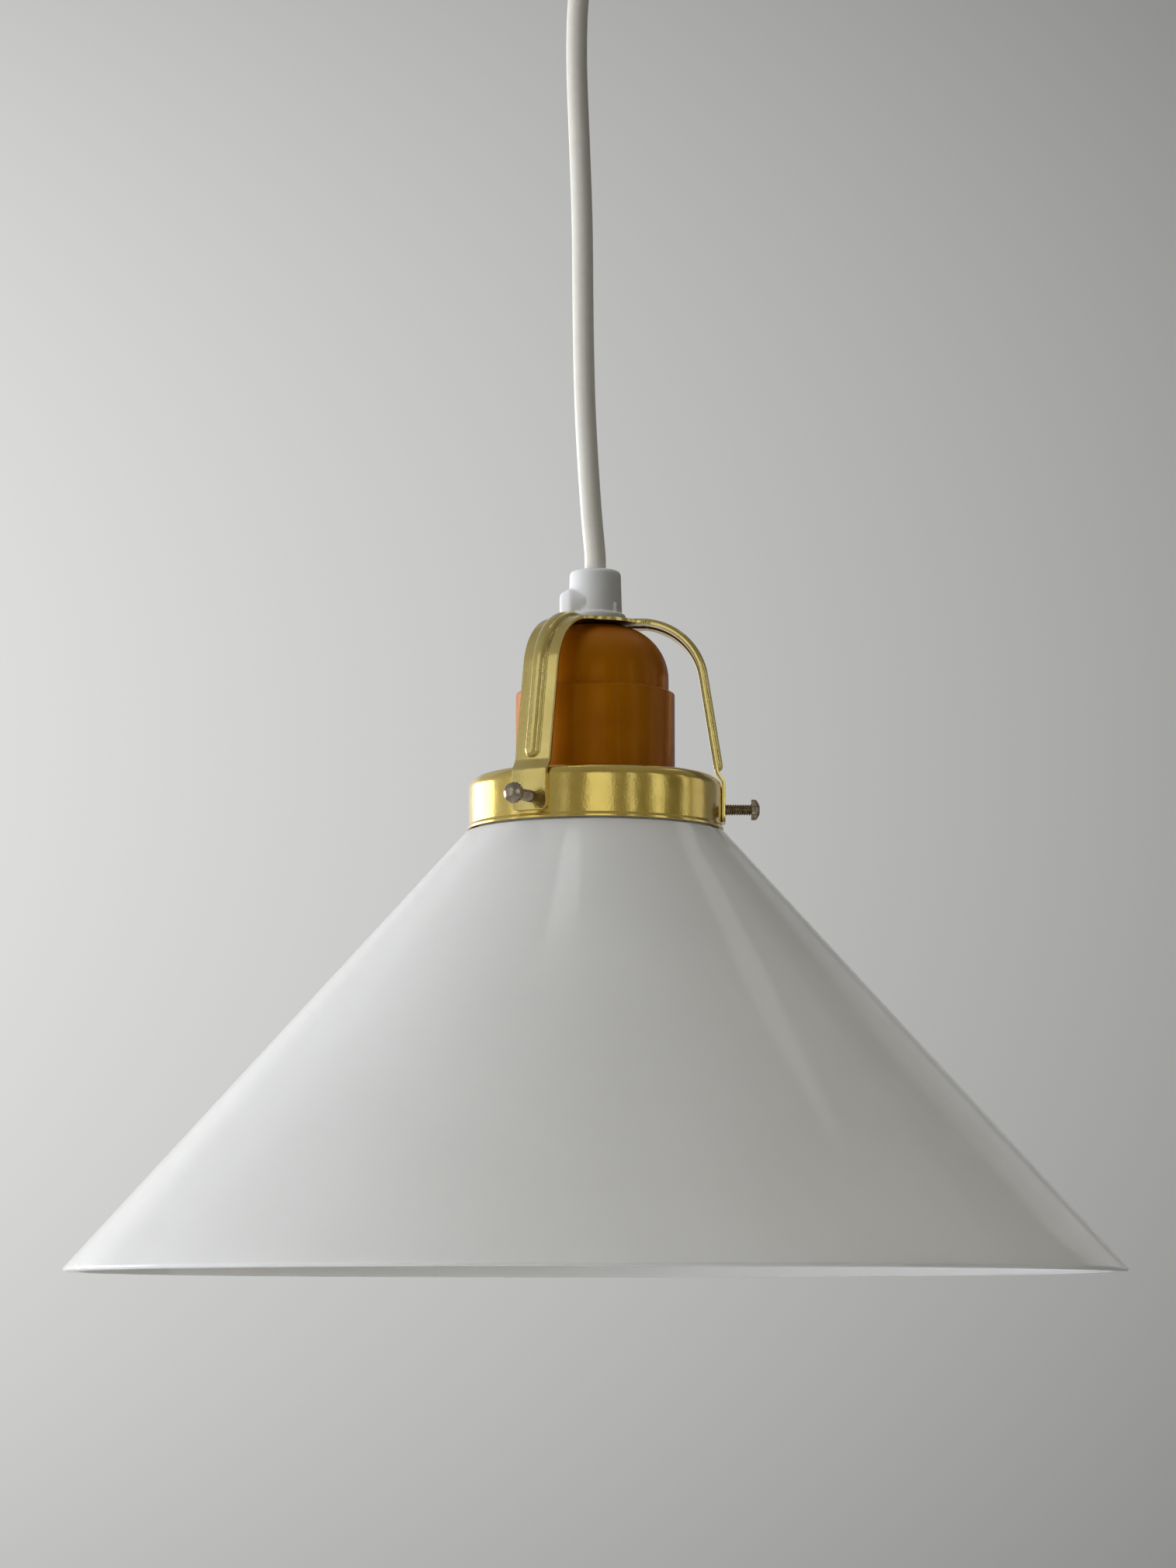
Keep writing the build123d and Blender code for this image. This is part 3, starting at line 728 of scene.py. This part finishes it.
# %% Gallery ring
ring_sheet = 0.6
ring_height = (ring_top - ring_foot) / MM
ring_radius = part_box("gallery_ring")[1].y / MM - 0.6
ring_inside, ring_opening = ring_radius - ring_sheet, 25.5
foot_radius = ring_radius + 0.35
ring_corners = [
    (ring_opening, ring_height, 0.2),
    (ring_radius, ring_height, 3.0),
    (ring_radius, 1.15, 0.4),
    (foot_radius, 0.6, 0.3),
    (foot_radius, 0.0, 0.15),
    (foot_radius - ring_sheet, 0.0, 0.12),
    (foot_radius - ring_sheet, 0.4, 0.3),
    (ring_inside, 1.0, 0.4),
    (ring_inside, ring_height - ring_sheet, 2.4),
    (ring_opening, ring_height - ring_sheet, 0.2),
]
ring_mesh = turned(rounded(above_foot(ring_corners), step=12), brass, segments=144)
ring_mesh = drilled(ring_mesh, radius=1.6 * MM, start=27 * MM, end=33 * MM)
add_piece("gallery", ring_mesh, "lamp", "gallery_ring", sharp=40)

# %% [markdown]
# ## The spider
#
# The spider is stamped from sheet brass: a hub with three straps, each embossed with a stiffening
# rib and folded down to the ring. It is made the way a press makes it. The flat blank is a grid,
# measured along each strap and across it; the rib is pressed into the blank; and the blank is then
# folded along the strap's bend line. A Solidify modifier gives it the thickness of the sheet.

# %% The bend line of a strap, and places on it
lean = math.tan(math.radians(9.0))
strap_step = 1.5                              # how far the strap jogs out to lie on the ring
tab_radius = ring_radius + spider_sheet / MM
strap_radius = tab_radius - strap_step
hub_height = (hub_top - ring_foot) / MM
jog_top, tab_top, tab_foot = 13.8, 11.6, 1.9
strap_bend, jog_bend = 15.0, 1.5
strap_line = rounded(
    above_foot([
        (0.0, hub_height, 0.0),
        (strap_radius + lean * (jog_top - hub_height), hub_height, strap_bend),
        (strap_radius, jog_top, jog_bend),
        (tab_radius, tab_top, jog_bend),
        (tab_radius, tab_foot, 0.0),
    ]),
    closed=False,
    step=3,
)
strap_runs = [(a, b, math.dist(a, b)) for a, b in zip(strap_line, strap_line[1:])]
strap_length = sum(length for _, _, length in strap_runs)


def on_strap(distance):
    """(radius, height) at a distance along the bend line, and the direction it runs in there."""
    left = min(max(distance, 0.0), strap_length)
    for start, end, length in strap_runs:
        if left <= length or end == strap_line[-1]:
            share = left / length
            place = (start[0] + (end[0] - start[0]) * share, start[1] + (end[1] - start[1]) * share)
            return place, ((end[0] - start[0]) / length, (end[1] - start[1]) / length)
        left -= length


def distance_at(height):
    """How far along the bend line a strap comes down to this height above the ring's foot."""
    distance = 0.0
    for start, end, length in strap_runs:
        if end[1] - ring_foot < height * MM:
            return distance + length * (start[1] - ring_foot - height * MM) / (start[1] - end[1])
        distance += length


rib_start, rib_end = 9.5 * MM, distance_at(16.3)
print("each strap is", round(strap_length / MM, 1), "mm long, measured from the axis")

# %% The blank's outline, and the rib pressed into it
hub_radius, hub_bore = 11.5 * MM, 5.05 * MM
strap_half = 4.7 * MM
corner = 1.2 * MM
root_fillet, fillet_share = 2.2 * MM, 0.6
strap_crown, crown_start = 60 * MM, 6 * MM
rib_half, rib_height = 2.0 * MM, 1.25 * MM
flank_power, foot_sharpness = 2.6, 7


def quarter_round(radius, past):
    """How much a quarter circle of this radius has taken off, this far past its start."""
    return radius - math.sqrt(max(0.0, radius**2 - min(max(0.0, past), radius) ** 2))


def half_width(distance):
    """Half the strap's width: filleted into the hub, rounded at the corners of the tab."""
    fillet = quarter_round(root_fillet, hub_radius + root_fillet - distance)
    rounding = quarter_round(corner, distance - (strap_length - corner))
    return strap_half + fillet_share * fillet - rounding


def pressed(distance, across):
    """Height of the rib at a place on the blank: a round bead with steep flanks and a small foot."""
    beyond = max(rib_start - distance, distance - rib_end, 0.0)
    away = min(1.0, math.hypot(beyond, across) / rib_half)
    bead = math.sqrt(1 - away**flank_power)
    soft_foot = min(1.0, (1 - away) * foot_sharpness)
    return rib_height * bead * soft_foot * soft_foot * (3 - 2 * soft_foot)


print("a strap is", round(2 * half_width(hub_radius) / MM, 2), "mm wide where it leaves the hub")

# %% Fold the blank
def stepped(*stretches):
    """Places from (start, end, count) stretches that follow on each other, closer where it counts."""
    places = [a + (b - a) * k / count for a, b, count in stretches for k in range(count)]
    return [*places, stretches[-1][1]]


def folded(distance, across, angle):
    """A place on the blank, pressed and folded, on the strap that points this way."""
    (radius, height), (run, rise) = on_strap(distance)
    crown = across**2 / (2 * strap_crown) * min(1.0, max(0.0, (distance - hub_radius) / crown_start))
    proud = pressed(distance, across) - crown
    place = Vector((radius - rise * proud, across, height + run * proud))
    return Matrix.Rotation(math.radians(angle), 3, "Z") @ place


def spider_blank():
    """The spider's outer face: three straps on a hub, pressed and folded."""
    work = bmesh.new()
    hub_rows, gap_columns = 12, 14
    above_rib_end, below_rib_end = rib_end - rib_half, rib_end + 1.3 * rib_half
    root_reach = 4 * MM                       # over which the rows straighten beyond the round hub
    levels = stepped(
        (hub_radius, above_rib_end, 130),
        (above_rib_end, below_rib_end, 44),
        (below_rib_end, strap_length - corner, 44),
        (strap_length - corner, strap_length, 12),
    )
    shares = stepped((-1.0, -0.5, 7), (-0.5, 0.5, 42), (0.5, 1.0, 7))
    reaches = stepped((hub_bore, hub_radius, hub_rows))
    root_angle = math.asin(half_width(hub_radius) / hub_radius)
    gap = math.radians(120) - 2 * root_angle

    def rows_of_faces(rows, arm_angle):
        """Fold rows of places on the blank, and fill between them with faces."""
        rows = [[work.verts.new(folded(*place, arm_angle)) for place in row] for row in rows]
        for left, right in zip(rows, rows[1:]):
            for i in range(len(left) - 1):
                work.faces.new((left[i], left[i + 1], right[i + 1], right[i]))

    for arm_angle in arm_angles:
        strap = []
        for share in shares:
            bearing = math.asin(share * half_width(hub_radius) / hub_radius)
            row = [(reach * math.cos(bearing), reach * math.sin(bearing)) for reach in reaches[:-1]]
            root = hub_radius * math.cos(bearing)
            for level in levels:
                near_hub = max(0.0, 1 - (level - hub_radius) / root_reach)
                distance = level - (hub_radius - root) * near_hub
                row.append((distance, share * half_width(max(distance, hub_radius))))
            strap.append(row)
        bearings = [root_angle + gap * j / gap_columns for j in range(gap_columns + 1)]
        spokes = [[(reach * math.cos(b), reach * math.sin(b)) for reach in reaches] for b in bearings]
        rows_of_faces(strap, arm_angle)
        rows_of_faces(spokes, arm_angle)
    bmesh.ops.remove_doubles(work, verts=work.verts, dist=2e-6)
    mesh = bpy.data.meshes.new("blank")
    bmesh.ops.recalc_face_normals(work, faces=work.faces)
    if sum(face.normal.z for face in work.faces) < 0:
        bmesh.ops.reverse_faces(work, faces=work.faces)
    work.to_mesh(mesh)
    work.free()
    mesh.materials.append(pressed_brass)
    return mesh


blank = spider_blank()
print("the blank has", len(blank.polygons), "faces")

# %% Give the blank the thickness of its sheet, and drill it
sheet = {"thickness": spider_sheet, "offset": -1.0, "use_even_offset": True}
edge = {
    "width": 0.16 * MM,
    "segments": 2,
    "limit_method": "ANGLE",
    "angle_limit": math.radians(50),
}
spider_mesh = after_modifiers(blank, ("SOLIDIFY", sheet), ("BEVEL", edge))
spider_mesh = drilled(spider_mesh, radius=1.45 * MM, start=27 * MM, end=34 * MM)
add_piece("spider_straps", spider_mesh, "lamp", "spider", sharp=45)

# %% [markdown]
# ## The lampholder
#
# The holder is two spun shells with an amber lacquer: a domed cap with a collar at its foot, and a
# straight skirt that goes over the collar. Where they meet there is a thin open seam.

# %% Cap and skirt
def add_turned(name, corners, slot, node, step, segments, sharp=35):
    """A piece of the lamp that is turned from corners above the ring's foot."""
    mesh = turned(rounded(above_foot(corners), step=step), finishes[slot], segments)
    add_piece(name, mesh, "lamp", node, sharp)


holder_sheet = 0.6
cap_height, seam_height = (cap_top - ring_foot) / MM, (seam - ring_foot) / MM
cap_radius, cap_dome, cap_bore = 17.65, 13.0, 5.05
cap_inside = cap_radius - holder_sheet
collar_radius, collar_foot = 18.15, seam_height - 5.1
boss_radius, boss_foot = 6.65, cap_height - 5.6
cap_corners = [
    (cap_bore, cap_height, 0.15),
    (cap_radius, cap_height, cap_dome),
    (cap_radius, seam_height + 0.5, 0.4),
    (collar_radius, seam_height + 0.1, 0.3),
    (collar_radius, collar_foot, 0.1),
    (cap_inside, collar_foot, 0.1),
    (cap_inside, cap_height - holder_sheet, cap_dome - holder_sheet),
    (boss_radius, cap_height - holder_sheet, 0.0),
    (boss_radius, boss_foot, 0.2),
    (cap_bore, boss_foot, 0.2),
]
add_turned("holder_dome", cap_corners, "amber_shell", "holder_cap", 5, 128, sharp=40)
skirt_low, skirt_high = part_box("holder_skirt")
skirt_radius, skirt_foot = skirt_high.x / MM, (skirt_low.z - ring_foot) / MM
skirt_inside, skirt_mouth, ledge_radius = skirt_radius - holder_sheet, 15.6, 16.6
ledge_foot, ledge_top = collar_foot - 3.7, collar_foot - 2.5
skirt_corners = [
    (skirt_radius, skirt_foot, 1.4),
    (skirt_mouth, skirt_foot, 0.15),
    (skirt_mouth, skirt_foot + holder_sheet, 0.15),
    (skirt_inside, skirt_foot + holder_sheet, 0.8),
    (skirt_inside, ledge_foot, 0.0),
    (ledge_radius, ledge_foot, 0.0),
    (ledge_radius, ledge_top, 0.0),
    (skirt_inside, ledge_top, 0.0),
    (skirt_inside, seam_height, 0.12),
    (skirt_radius, seam_height, 0.35),
]
add_turned("holder_sleeve", skirt_corners, "amber_shell", "holder_skirt", 9, 128, sharp=40)

# %% [markdown]
# ## Screws and threads
#
# A thread is a tube whose radius rises and falls along a helix. One tree makes both threads of
# the light: the fine machine thread of the thumbscrews and the coarse rolled thread of the lamp
# socket. The grid's columns run along the axis, its rows go round it, and the phase of the ridge
# depends on both, which is all that a helix is.

# %% The tree that cuts a thread
threading, given = start_tree(
    "threading",
    [
        ("Length", "Float", 0.01),
        ("Pitch", "Float", 0.001),
        ("Root radius", "Float", 0.001),
        ("Crest radius", "Float", 0.0012),
        ("Chamfer", "Float", 0.0),
        ("Segments", "Int", 24),
        ("Steps", "Int", 100),
        ("Roundness", "Float", 0.0),
        ("Closed", "Float", 1.0),
        ("Material", "Material", None),
    ],
)
add = partial(add_node, threading)
grid, column, turn, _, direction = rings_round_axis(threading, given, "Steps")

# a ridge between the second column and the last but one, as a sharp or a rounded wave
last = add("ShaderNodeMath SUBTRACT", given["Steps"], 1)
height = add(
    "ShaderNodeMapRange",
    {"Value": column, "From Min": 1.0, "From Max": last, "To Min": 0.0, "To Max": given["Length"]},
)
phase = add("ShaderNodeMath DIVIDE", height, given["Pitch"])
phase = add("ShaderNodeMath SUBTRACT", phase, turn)
ridge = add("ShaderNodeMath PINGPONG", phase, 0.5)
sharp_ridge = add("ShaderNodeMath MULTIPLY", ridge, 2.0)
round_ridge = add("ShaderNodeMapRange", {"Value": sharp_ridge}, interpolation_type="SMOOTHSTEP")
ridge = {0: given["Roundness"], 2: sharp_ridge, 3: round_ridge}
radius = add(
    "ShaderNodeMapRange",
    {
        "Value": add("ShaderNodeMix", ridge, data_type="FLOAT"),
        "To Min": given["Root radius"],
        "To Max": given["Crest radius"],
    },
)

print("the ridge takes", len(threading.nodes), "nodes")

# %% Chamfer the thread, close its ends and put it in place
# a cone takes off the first ridges, and the end rings of a closed thread shrink to a point, which
# puts a flat cap on each end
cone = add("ShaderNodeMath SUBTRACT", given["Crest radius"], given["Chamfer"])
radius = add("ShaderNodeMath MINIMUM", radius, add("ShaderNodeMath ADD", cone, height))
near_last = add("ShaderNodeMath SUBTRACT", given["Steps"], 0.5)
from_start = add("ShaderNodeMath LESS_THAN", column, 0.5)
from_end = add("ShaderNodeMath GREATER_THAN", column, near_last)
capped = add("ShaderNodeMath ADD", from_start, from_end)
capped = add("ShaderNodeMath MULTIPLY", capped, given["Closed"])
radius = add("ShaderNodeMath MULTIPLY", radius, add("ShaderNodeMath SUBTRACT", 1.0, capped))
level = add("ShaderNodeCombineXYZ", {"Z": height})
place = add("ShaderNodeVectorMath MULTIPLY_ADD", direction, radius, level)
end_tree(threading, grid, place, given["Material"])

# %% Thumbscrews
head_low, head_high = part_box("thumbscrew_head_1")
head_inner, head_radius = head_low.x / MM, head_high.y / MM
head_thick = head_high.x / MM - head_inner
shank_low, shank_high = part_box("thumbscrew_shank_1")
tip, shank_radius, shank_length = shank_low.x, shank_high.y, shank_high.x - shank_low.x
screw_pitch, thread_depth = 0.6 * MM, 0.34 * MM
head_bore, head_socket = 1.45, 1.1
head_corners = [
    (0, head_thick, 0),
    (head_radius * 0.45, head_thick - 0.06, 1.2),
    (head_radius * 0.93, head_thick - 0.75, 0.75),
    (head_radius, head_thick - 1.25, 0.3),
    (head_radius, 0.12, 0.12),
    (head_radius - 0.2, 0.0, 0.1),
    (head_bore, 0.0, 0.0),
    (head_bore, head_socket, 0.0),
    (0, head_socket, 0.0),
]
knurl = {"flutes": 18, "flute_depth": 0.24 * MM, "flutes_start_at": head_radius * 0.9 * MM}
nothing = bpy.data.meshes.new("nothing")


print("thumbscrew heads are", round(2 * head_radius, 1), "mm across")

# %% Turn and place the thumbscrews
def shank_mesh():
    """A threaded shank with its tip at zero, chamfered."""
    values = {
        "Length": shank_length,
        "Pitch": screw_pitch,
        "Root radius": shank_radius - thread_depth,
        "Crest radius": shank_radius,
        "Chamfer": 0.3 * MM,
        "Segments": 28,
        "Steps": round(10 * shank_length / screw_pitch),
        "Roundness": 0.25,
        "Closed": 1.0,
        "Material": nickel,
    }
    return face_outwards(run_tree(threading, nothing, values))


def head_mesh():
    """A round head with a domed face and a knurled edge, standing on its seat at zero."""
    return turned(rounded(head_corners, step=15), nickel, segments=144, **knurl)


for number, angle in enumerate(arm_angles, start=1):
    shank, head = shank_mesh(), head_mesh()
    shank.transform(along_arm(angle, tip, screw_axis))
    head.transform(along_arm(angle, head_inner * MM, screw_axis))
    body = f"thumbscrew_shank_{number}"
    add_piece(f"thumbscrew_thread_{number}", shank, body, body, sharp=50)
    body = f"thumbscrew_head_{number}"
    add_piece(f"thumbscrew_knob_{number}", head, body, body, sharp=40)

# %% Lamp socket: a rolled thread, a plain neck and a plate against the porcelain
shell_foot, shell_top = (corner.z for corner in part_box("screw_shell"))
neck_height = 5.1
values = {
    "Length": shell_top - shell_foot - neck_height * MM,
    "Pitch": 3.62 * MM,
    "Root radius": 12.35 * MM,
    "Crest radius": 13.3 * MM,
    "Segments": 96,
    "Steps": 90,
    "Roundness": 1.0,
    "Closed": 0.0,
    "Material": bare_brass,
}
thread = run_tree(threading, nothing, values)
thread.transform(Matrix.Translation((0, 0, shell_foot)))
shell_wall = {"thickness": 0.35 * MM, "offset": 1.0, "use_rim": True}
thread = after_modifiers(face_outwards(thread), ("SOLIDIFY", shell_wall))
add_piece("socket_thread", thread, "lamp", "screw_shell", sharp=60)
shell_height = (shell_top - ring_foot) / MM
plate_opening, plate_radius, neck_outside, neck_inside = 8.5, 13.7, 12.8, 12.4
neck_foot = shell_height - neck_height
neck_corners = [
    (plate_opening, shell_height, 0.0),
    (plate_radius, shell_height, 0.1),
    (plate_radius, shell_height - 0.4, 0.1),
    (neck_outside, shell_height - 0.4, 0.3),
    (neck_outside, neck_foot + 0.4, 0.3),
    (plate_radius, neck_foot + 0.4, 0.2),
    (plate_radius, neck_foot, 0.1),
    (neck_inside, neck_foot, 0.5),
    (neck_inside, shell_height - 0.8, 0.4),
    (plate_opening, shell_height - 0.8, 0.0),
]
add_turned("socket_neck", neck_corners, "socket_brass", "screw_shell", 20, 96)

# %% [markdown]
# ## Cord grips
#
# A cord grip is one moulding: a round flange with a small key, a body with a soft top edge, a side
# boss for the clamp screw, and a stem, which is left plain because its thread is out of sight.
# Moulded corners are soft inside and out, so the parts are united, remeshed into one skin and
# smoothed a little.

# %% Outlines of the parts of a grip
grip_height = (grip_top - hub_top) / MM
grip_bore = flex_diameter / 2 / MM + 0.15
stem_radius, stem_foot, flange_radius = 4.95, -8.0, 7.35
boss_height, boss_stretch = 4.4 * MM, 1.42
hole_radius, hole_start, hole_end = 1.55 * MM, 2 * MM, 9 * MM
key_angle, key_distance = -42, 6.5 * MM
grip_corners = [
    (grip_bore, stem_foot, 0.2),
    (stem_radius, stem_foot, 0.3),
    (stem_radius, 0.0, 0.0),
    (flange_radius, 0.0, 0.2),
    (flange_radius, 2.1, 0.55),
    (6.45, 2.2, 0.3),
    (6.15, grip_height, 1.1),
    (grip_bore + 0.9, grip_height, 0.3),
    (grip_bore, grip_height - 1.4, 0.6),
]
boss_corners = [(0, 2.5, 0), (4.3, 2.5, 0), (4.2, 6.2, 2.4), (2.8, 8.6, 1.8), (0, 8.6, 0)]
key_corners = [(0, 1.5, 0), (0.55, 1.5, 0), (0.55, 4.3, 0.3), (0, 4.3, 0)]
hole_outline = [(0, hole_start), (hole_radius, hole_start), (hole_radius, hole_end), (0, hole_end)]


print("a grip stands", round(grip_height, 1), "mm above its flange")

# %% Mould the cord grips
def grip_mesh():
    """A cord grip standing on its flange at zero, with its stem below."""
    aside = Matrix.Translation((0, 0, boss_height)) @ Matrix.Rotation(-math.pi / 2, 4, "Y")
    body = turned(rounded(grip_corners, step=12), moulded_white, 96)
    boss = turned(rounded(boss_corners, step=12), moulded_white, 48)
    boss.transform(aside @ Matrix.Diagonal((1, boss_stretch, 1, 1)))
    hole = turned(hole_outline, moulded_white, 32)
    hole.transform(aside)
    key = turned(rounded(key_corners, step=20), moulded_white, 16)
    place = Matrix.Translation((key_distance, 0, 0))
    key.transform(Matrix.Rotation(math.radians(key_angle), 4, "Z") @ place)
    return after_modifiers(
        body,
        cut("UNION", boss),
        cut("UNION", key),
        cut("DIFFERENCE", hole),
        ("REMESH", {"mode": "VOXEL", "voxel_size": 0.2 * MM}),
        ("SMOOTH", {"factor": 0.5, "iterations": 8}),
    )


lower_grip = grip_mesh()
upper_grip = lower_grip.copy()
canopy_foot = Matrix.Translation((0, 0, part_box("canopy")[0].z))
lower_grip.transform(Matrix.Translation((0, 0, hub_top)))
upper_grip.transform(canopy_foot @ Matrix.Rotation(math.pi, 4, "X"))
add_piece("cord_grip_below", lower_grip, "lamp", "lower_cord_grip", sharp=180)
add_piece(
    "cord_grip_above", upper_grip, "ceiling_rose", "upper_cord_grip", sharp=180
)

# %% [markdown]
# ## Studio
#
# The light hangs in a plain pale room: a floor one storey below the ceiling and a wall behind. The
# wall carries painted light: it glows, brighter on the window's side and at one height, as a real
# wall beside a window is lit. Only what looks at the wall, directly or in the brass and the glass,
# sees that painted light. The light that the wall throws back is that of plain matt paint.

# %% Floor and wall paint
def looked_at(tree):
    """One where the ray comes from the camera or out of brass or glass, and zero for thrown light."""
    path = add_node(tree, "ShaderNodeLightPath").outputs
    looks = add_node(tree, "ShaderNodeMath MAXIMUM", path["Is Camera Ray"], path["Is Glossy Ray"])
    return add_node(tree, "ShaderNodeMath MAXIMUM", looks, path["Is Transmission Ray"])


def floor_paint():
    """Pale matt paint. The glow keeps it pale where the lamps don't reach, and shadows stay on it."""
    material, tree, shader = new_material("matt floor paint")
    shader.inputs["Base Color"].default_value = linear("#D6D6D4")
    shader.inputs["Roughness"].default_value = 0.8
    shader.inputs["Emission Color"].default_value = linear("#F4F4F0")
    glow = add_node(tree, "ShaderNodeMath MULTIPLY", looked_at(tree), 0.3)
    tree.links.new(glow.outputs[0], shader.inputs["Emission Strength"])
    return material


def wall_with_painted_light(brightest):
    """Painted window light on matt paint: bright at one height on the window's side, darker
    elsewhere.
    """
    material, tree, shader = new_material("matt wall paint, shaded")
    shader.inputs["Base Color"].default_value = linear("#C9C9C7")
    shader.inputs["Roughness"].default_value = 0.9
    add = partial(add_node, tree)
    place = add("ShaderNodeSeparateXYZ", add("ShaderNodeTexCoord").outputs["Object"])
    # painted window light: an emission, brighter towards the window's side and at one height
    across = {"From Min": -1.6, "From Max": 0.99, "To Min": 1.1, "To Max": 0.2}
    across = add("ShaderNodeMapRange", {"Value": place.outputs["X"], **across})
    rise = add("ShaderNodeMath SUBTRACT", place.outputs["Z"], brightest)
    rise = add("ShaderNodeMath MULTIPLY", rise, rise)
    fade = add("ShaderNodeMapRange", {"Value": rise, "To Min": 1.0, "To Max": 0.485})
    strength = add("ShaderNodeMath MULTIPLY", across, fade)
    seen = add("ShaderNodeEmission", {"Color": linear("#FFFFFD"), "Strength": strength})
    mixed = add("ShaderNodeMixShader", looked_at(tree), shader, seen)
    tree.links.new(mixed.outputs[0], tree.nodes["Material Output"].inputs["Surface"])
    return material


matt_floor, matt_wall = floor_paint(), wall_with_painted_light(ring_foot + 385 * MM)
print("paints:", matt_floor.name, "and", matt_wall.name)

# %% Floor and wall
def stage_plane(name, low, high, material):
    """A flat piece of the studio between two corners, which isn't part of the light."""
    mesh = bpy.data.meshes.new(name)
    mesh.from_pydata([low, (high[0], *low[1:]), high, (low[0], *high[1:])], [], [(0, 1, 2, 3)])
    mesh.materials.append(material)
    in_scene(name, mesh)


floor_height, wall_distance, wall_top, room_half = -2.4, 2.6, 2.9, 12.0
floor_corner = (-room_half, -room_half, floor_height)
wall_corner = (-room_half, wall_distance, floor_height)
stage_plane("floor", floor_corner, (room_half, wall_distance, floor_height), matt_floor)
stage_plane("wall", wall_corner, (room_half, wall_distance, wall_top), matt_wall)
print("floor", -floor_height, "m below the ceiling, wall", wall_distance, "m behind the light")

# %% [markdown]
# ## Light
#
# The rest of the room is the world. Each of its six sides has a brightness for what looks at it,
# and another for what it throws on matt surfaces. A direction's share of each side is the square
# of its cosine to that side: the squares always add up to one, so the sides run into each other
# softly.
#
# The lamps are of two kinds. Four at the window and one overhead light the matt surfaces, and
# don't show in a reflection. The others show only in reflections: the window, a pale wall
# opposite, and a few narrow strips that put bands on the brass, since polished metal looks like
# what surrounds it.

# %% World
room_sides = {                                # colour, brightness seen, brightness thrown
    (-1, 0, 0): ("#FAFCFF", 0.55, 0.30),
    (1, 0, 0): ("#FFF6E0", 0.14, 0.07),
    (0, -1, 0): ("#FFF6E0", 0.22, 0.10),
    (0, 1, 0): ("#FFFFFF", 0.30, 0.15),
    (0, 0, 1): ("#FFFFFC", 0.30, 0.15),
    (0, 0, -1): ("#FFF6E0", 0.16, 0.9),
}
world = bpy.data.worlds.new("room")
bpy.context.scene.world = world
world.use_nodes = True
room = world.node_tree
add = partial(add_node, room)
direction = add("ShaderNodeTexCoord").outputs["Generated"]
looks = looked_at(room)
parts = []
for side, (colour, seen, thrown) in room_sides.items():
    facing = add("ShaderNodeVectorMath DOT_PRODUCT", direction, side).outputs["Value"]
    facing = add("ShaderNodeMath MAXIMUM", facing, 0.0)
    share = add("ShaderNodeMath MULTIPLY", facing, facing)
    amount = add("ShaderNodeMapRange", {"Value": looks, "To Min": thrown, "To Max": seen})
    share = add("ShaderNodeMath MULTIPLY", share, amount)
    parts.append(add("ShaderNodeVectorMath SCALE", {0: linear(colour)[:3], "Scale": share}))
total = reduce(partial(add, "ShaderNodeVectorMath ADD"), parts)
room.links.new(total.outputs[0], room.nodes["Background"].inputs["Color"])
print("room sides, seen and thrown:", {side: values[1:] for side, values in room_sides.items()})


# %% Lamps
def soft_lamp(name, mirrored, place, size, power, colour, turn=0):
    """A rectangular lamp that faces the light's ring.

    A mirrored lamp shows in reflections only. Any other lights matt surfaces and doesn't show.
    """
    data = bpy.data.lights.new(name, "AREA")
    data.shape = "RECTANGLE"
    data.size, data.size_y = size
    data.energy = power
    data.color = linear(colour)[:3]
    lamp = in_scene(name, data)
    lamp.location = (place[0], place[1], place[2] + ring_foot)
    facing = (Vector(place) * -1).to_track_quat("-Z", "Y")
    lamp.rotation_euler = (facing @ Quaternion((0, 0, 1), math.radians(turn))).to_euler()
    lamp.visible_camera = False
    lamp.visible_glossy = mirrored
    lamp.visible_diffuse = not mirrored


daylight, cool_card, plain_white = "#F8FBFF", "#F2FAFF", "#FFFFFF"
lighting = {
    "window": ((-1.90, 0.10, 0.0), (3.2, 2.4), 38, daylight),
    "window_near": ((-1.6, -1.1, 0.2), (1.8, 2.2), 12, daylight),
    "window_far": ((-1.4, 1.6, 0.3), (1.6, 2.0), 12, daylight),
    "window_low": ((-1.6, 0.35, -0.75), (1.2, 1.0), 10, daylight),
    "overhead": ((0.0, 0.0, 2.3), (1.8, 1.8), 22, "#FFFEF8"),
}
reflected = {
    "window_behind": ((-1.735, 1.175, 0.05), (1.46, 0.9), 14, daylight),
    "window_edge": ((-1.98, -0.42, 0.3), (0.10, 1.0), 0.5, daylight),
    "card_left": ((-1.68, -1.09, 0.5), (0.55, 1.5), 1.4, "#F0F8FF"),
    "strip_left": ((-0.94, -1.77, 0.3), (0.25, 1.5), 0.38, cool_card),
    "card_ahead": ((0.14, -2.2, 0.35), (0.9, 1.4), 3.3, cool_card),
    "strip_1": ((1.15, -1.75, 0.3), (0.16, 1.5), 0.76, cool_card),
    "strip_2": ((1.75, -1.05, 0.3), (0.42, 1.5), 1.75, cool_card),
    "strip_3": ((2.0, 0.0, 0.3), (0.22, 1.5), 0.86, cool_card),
    "wall_opposite": ((1.9, 0.58, 0.2), (0.57, 1.0), 0.9, plain_white),
    "wall_far": ((1.2, 2.3, 0.6), (0.7, 1.6), 0.7, plain_white),
    "ceiling_line": ((1.2, 1.05, 2.0), (0.2, 1.0), 0.3, plain_white, 59),
    "ceiling_patch": ((-0.28, 0.07, 2.0), (0.17, 0.26), 0.2, plain_white),
}
for mirrored, lamps in ((False, lighting), (True, reflected)):
    for name, lamp in lamps.items():
        soft_lamp(name, mirrored, *lamp)
bpy.context.scene.view_settings.view_transform = "Standard"
print("lamps:", [*lighting, *reflected])
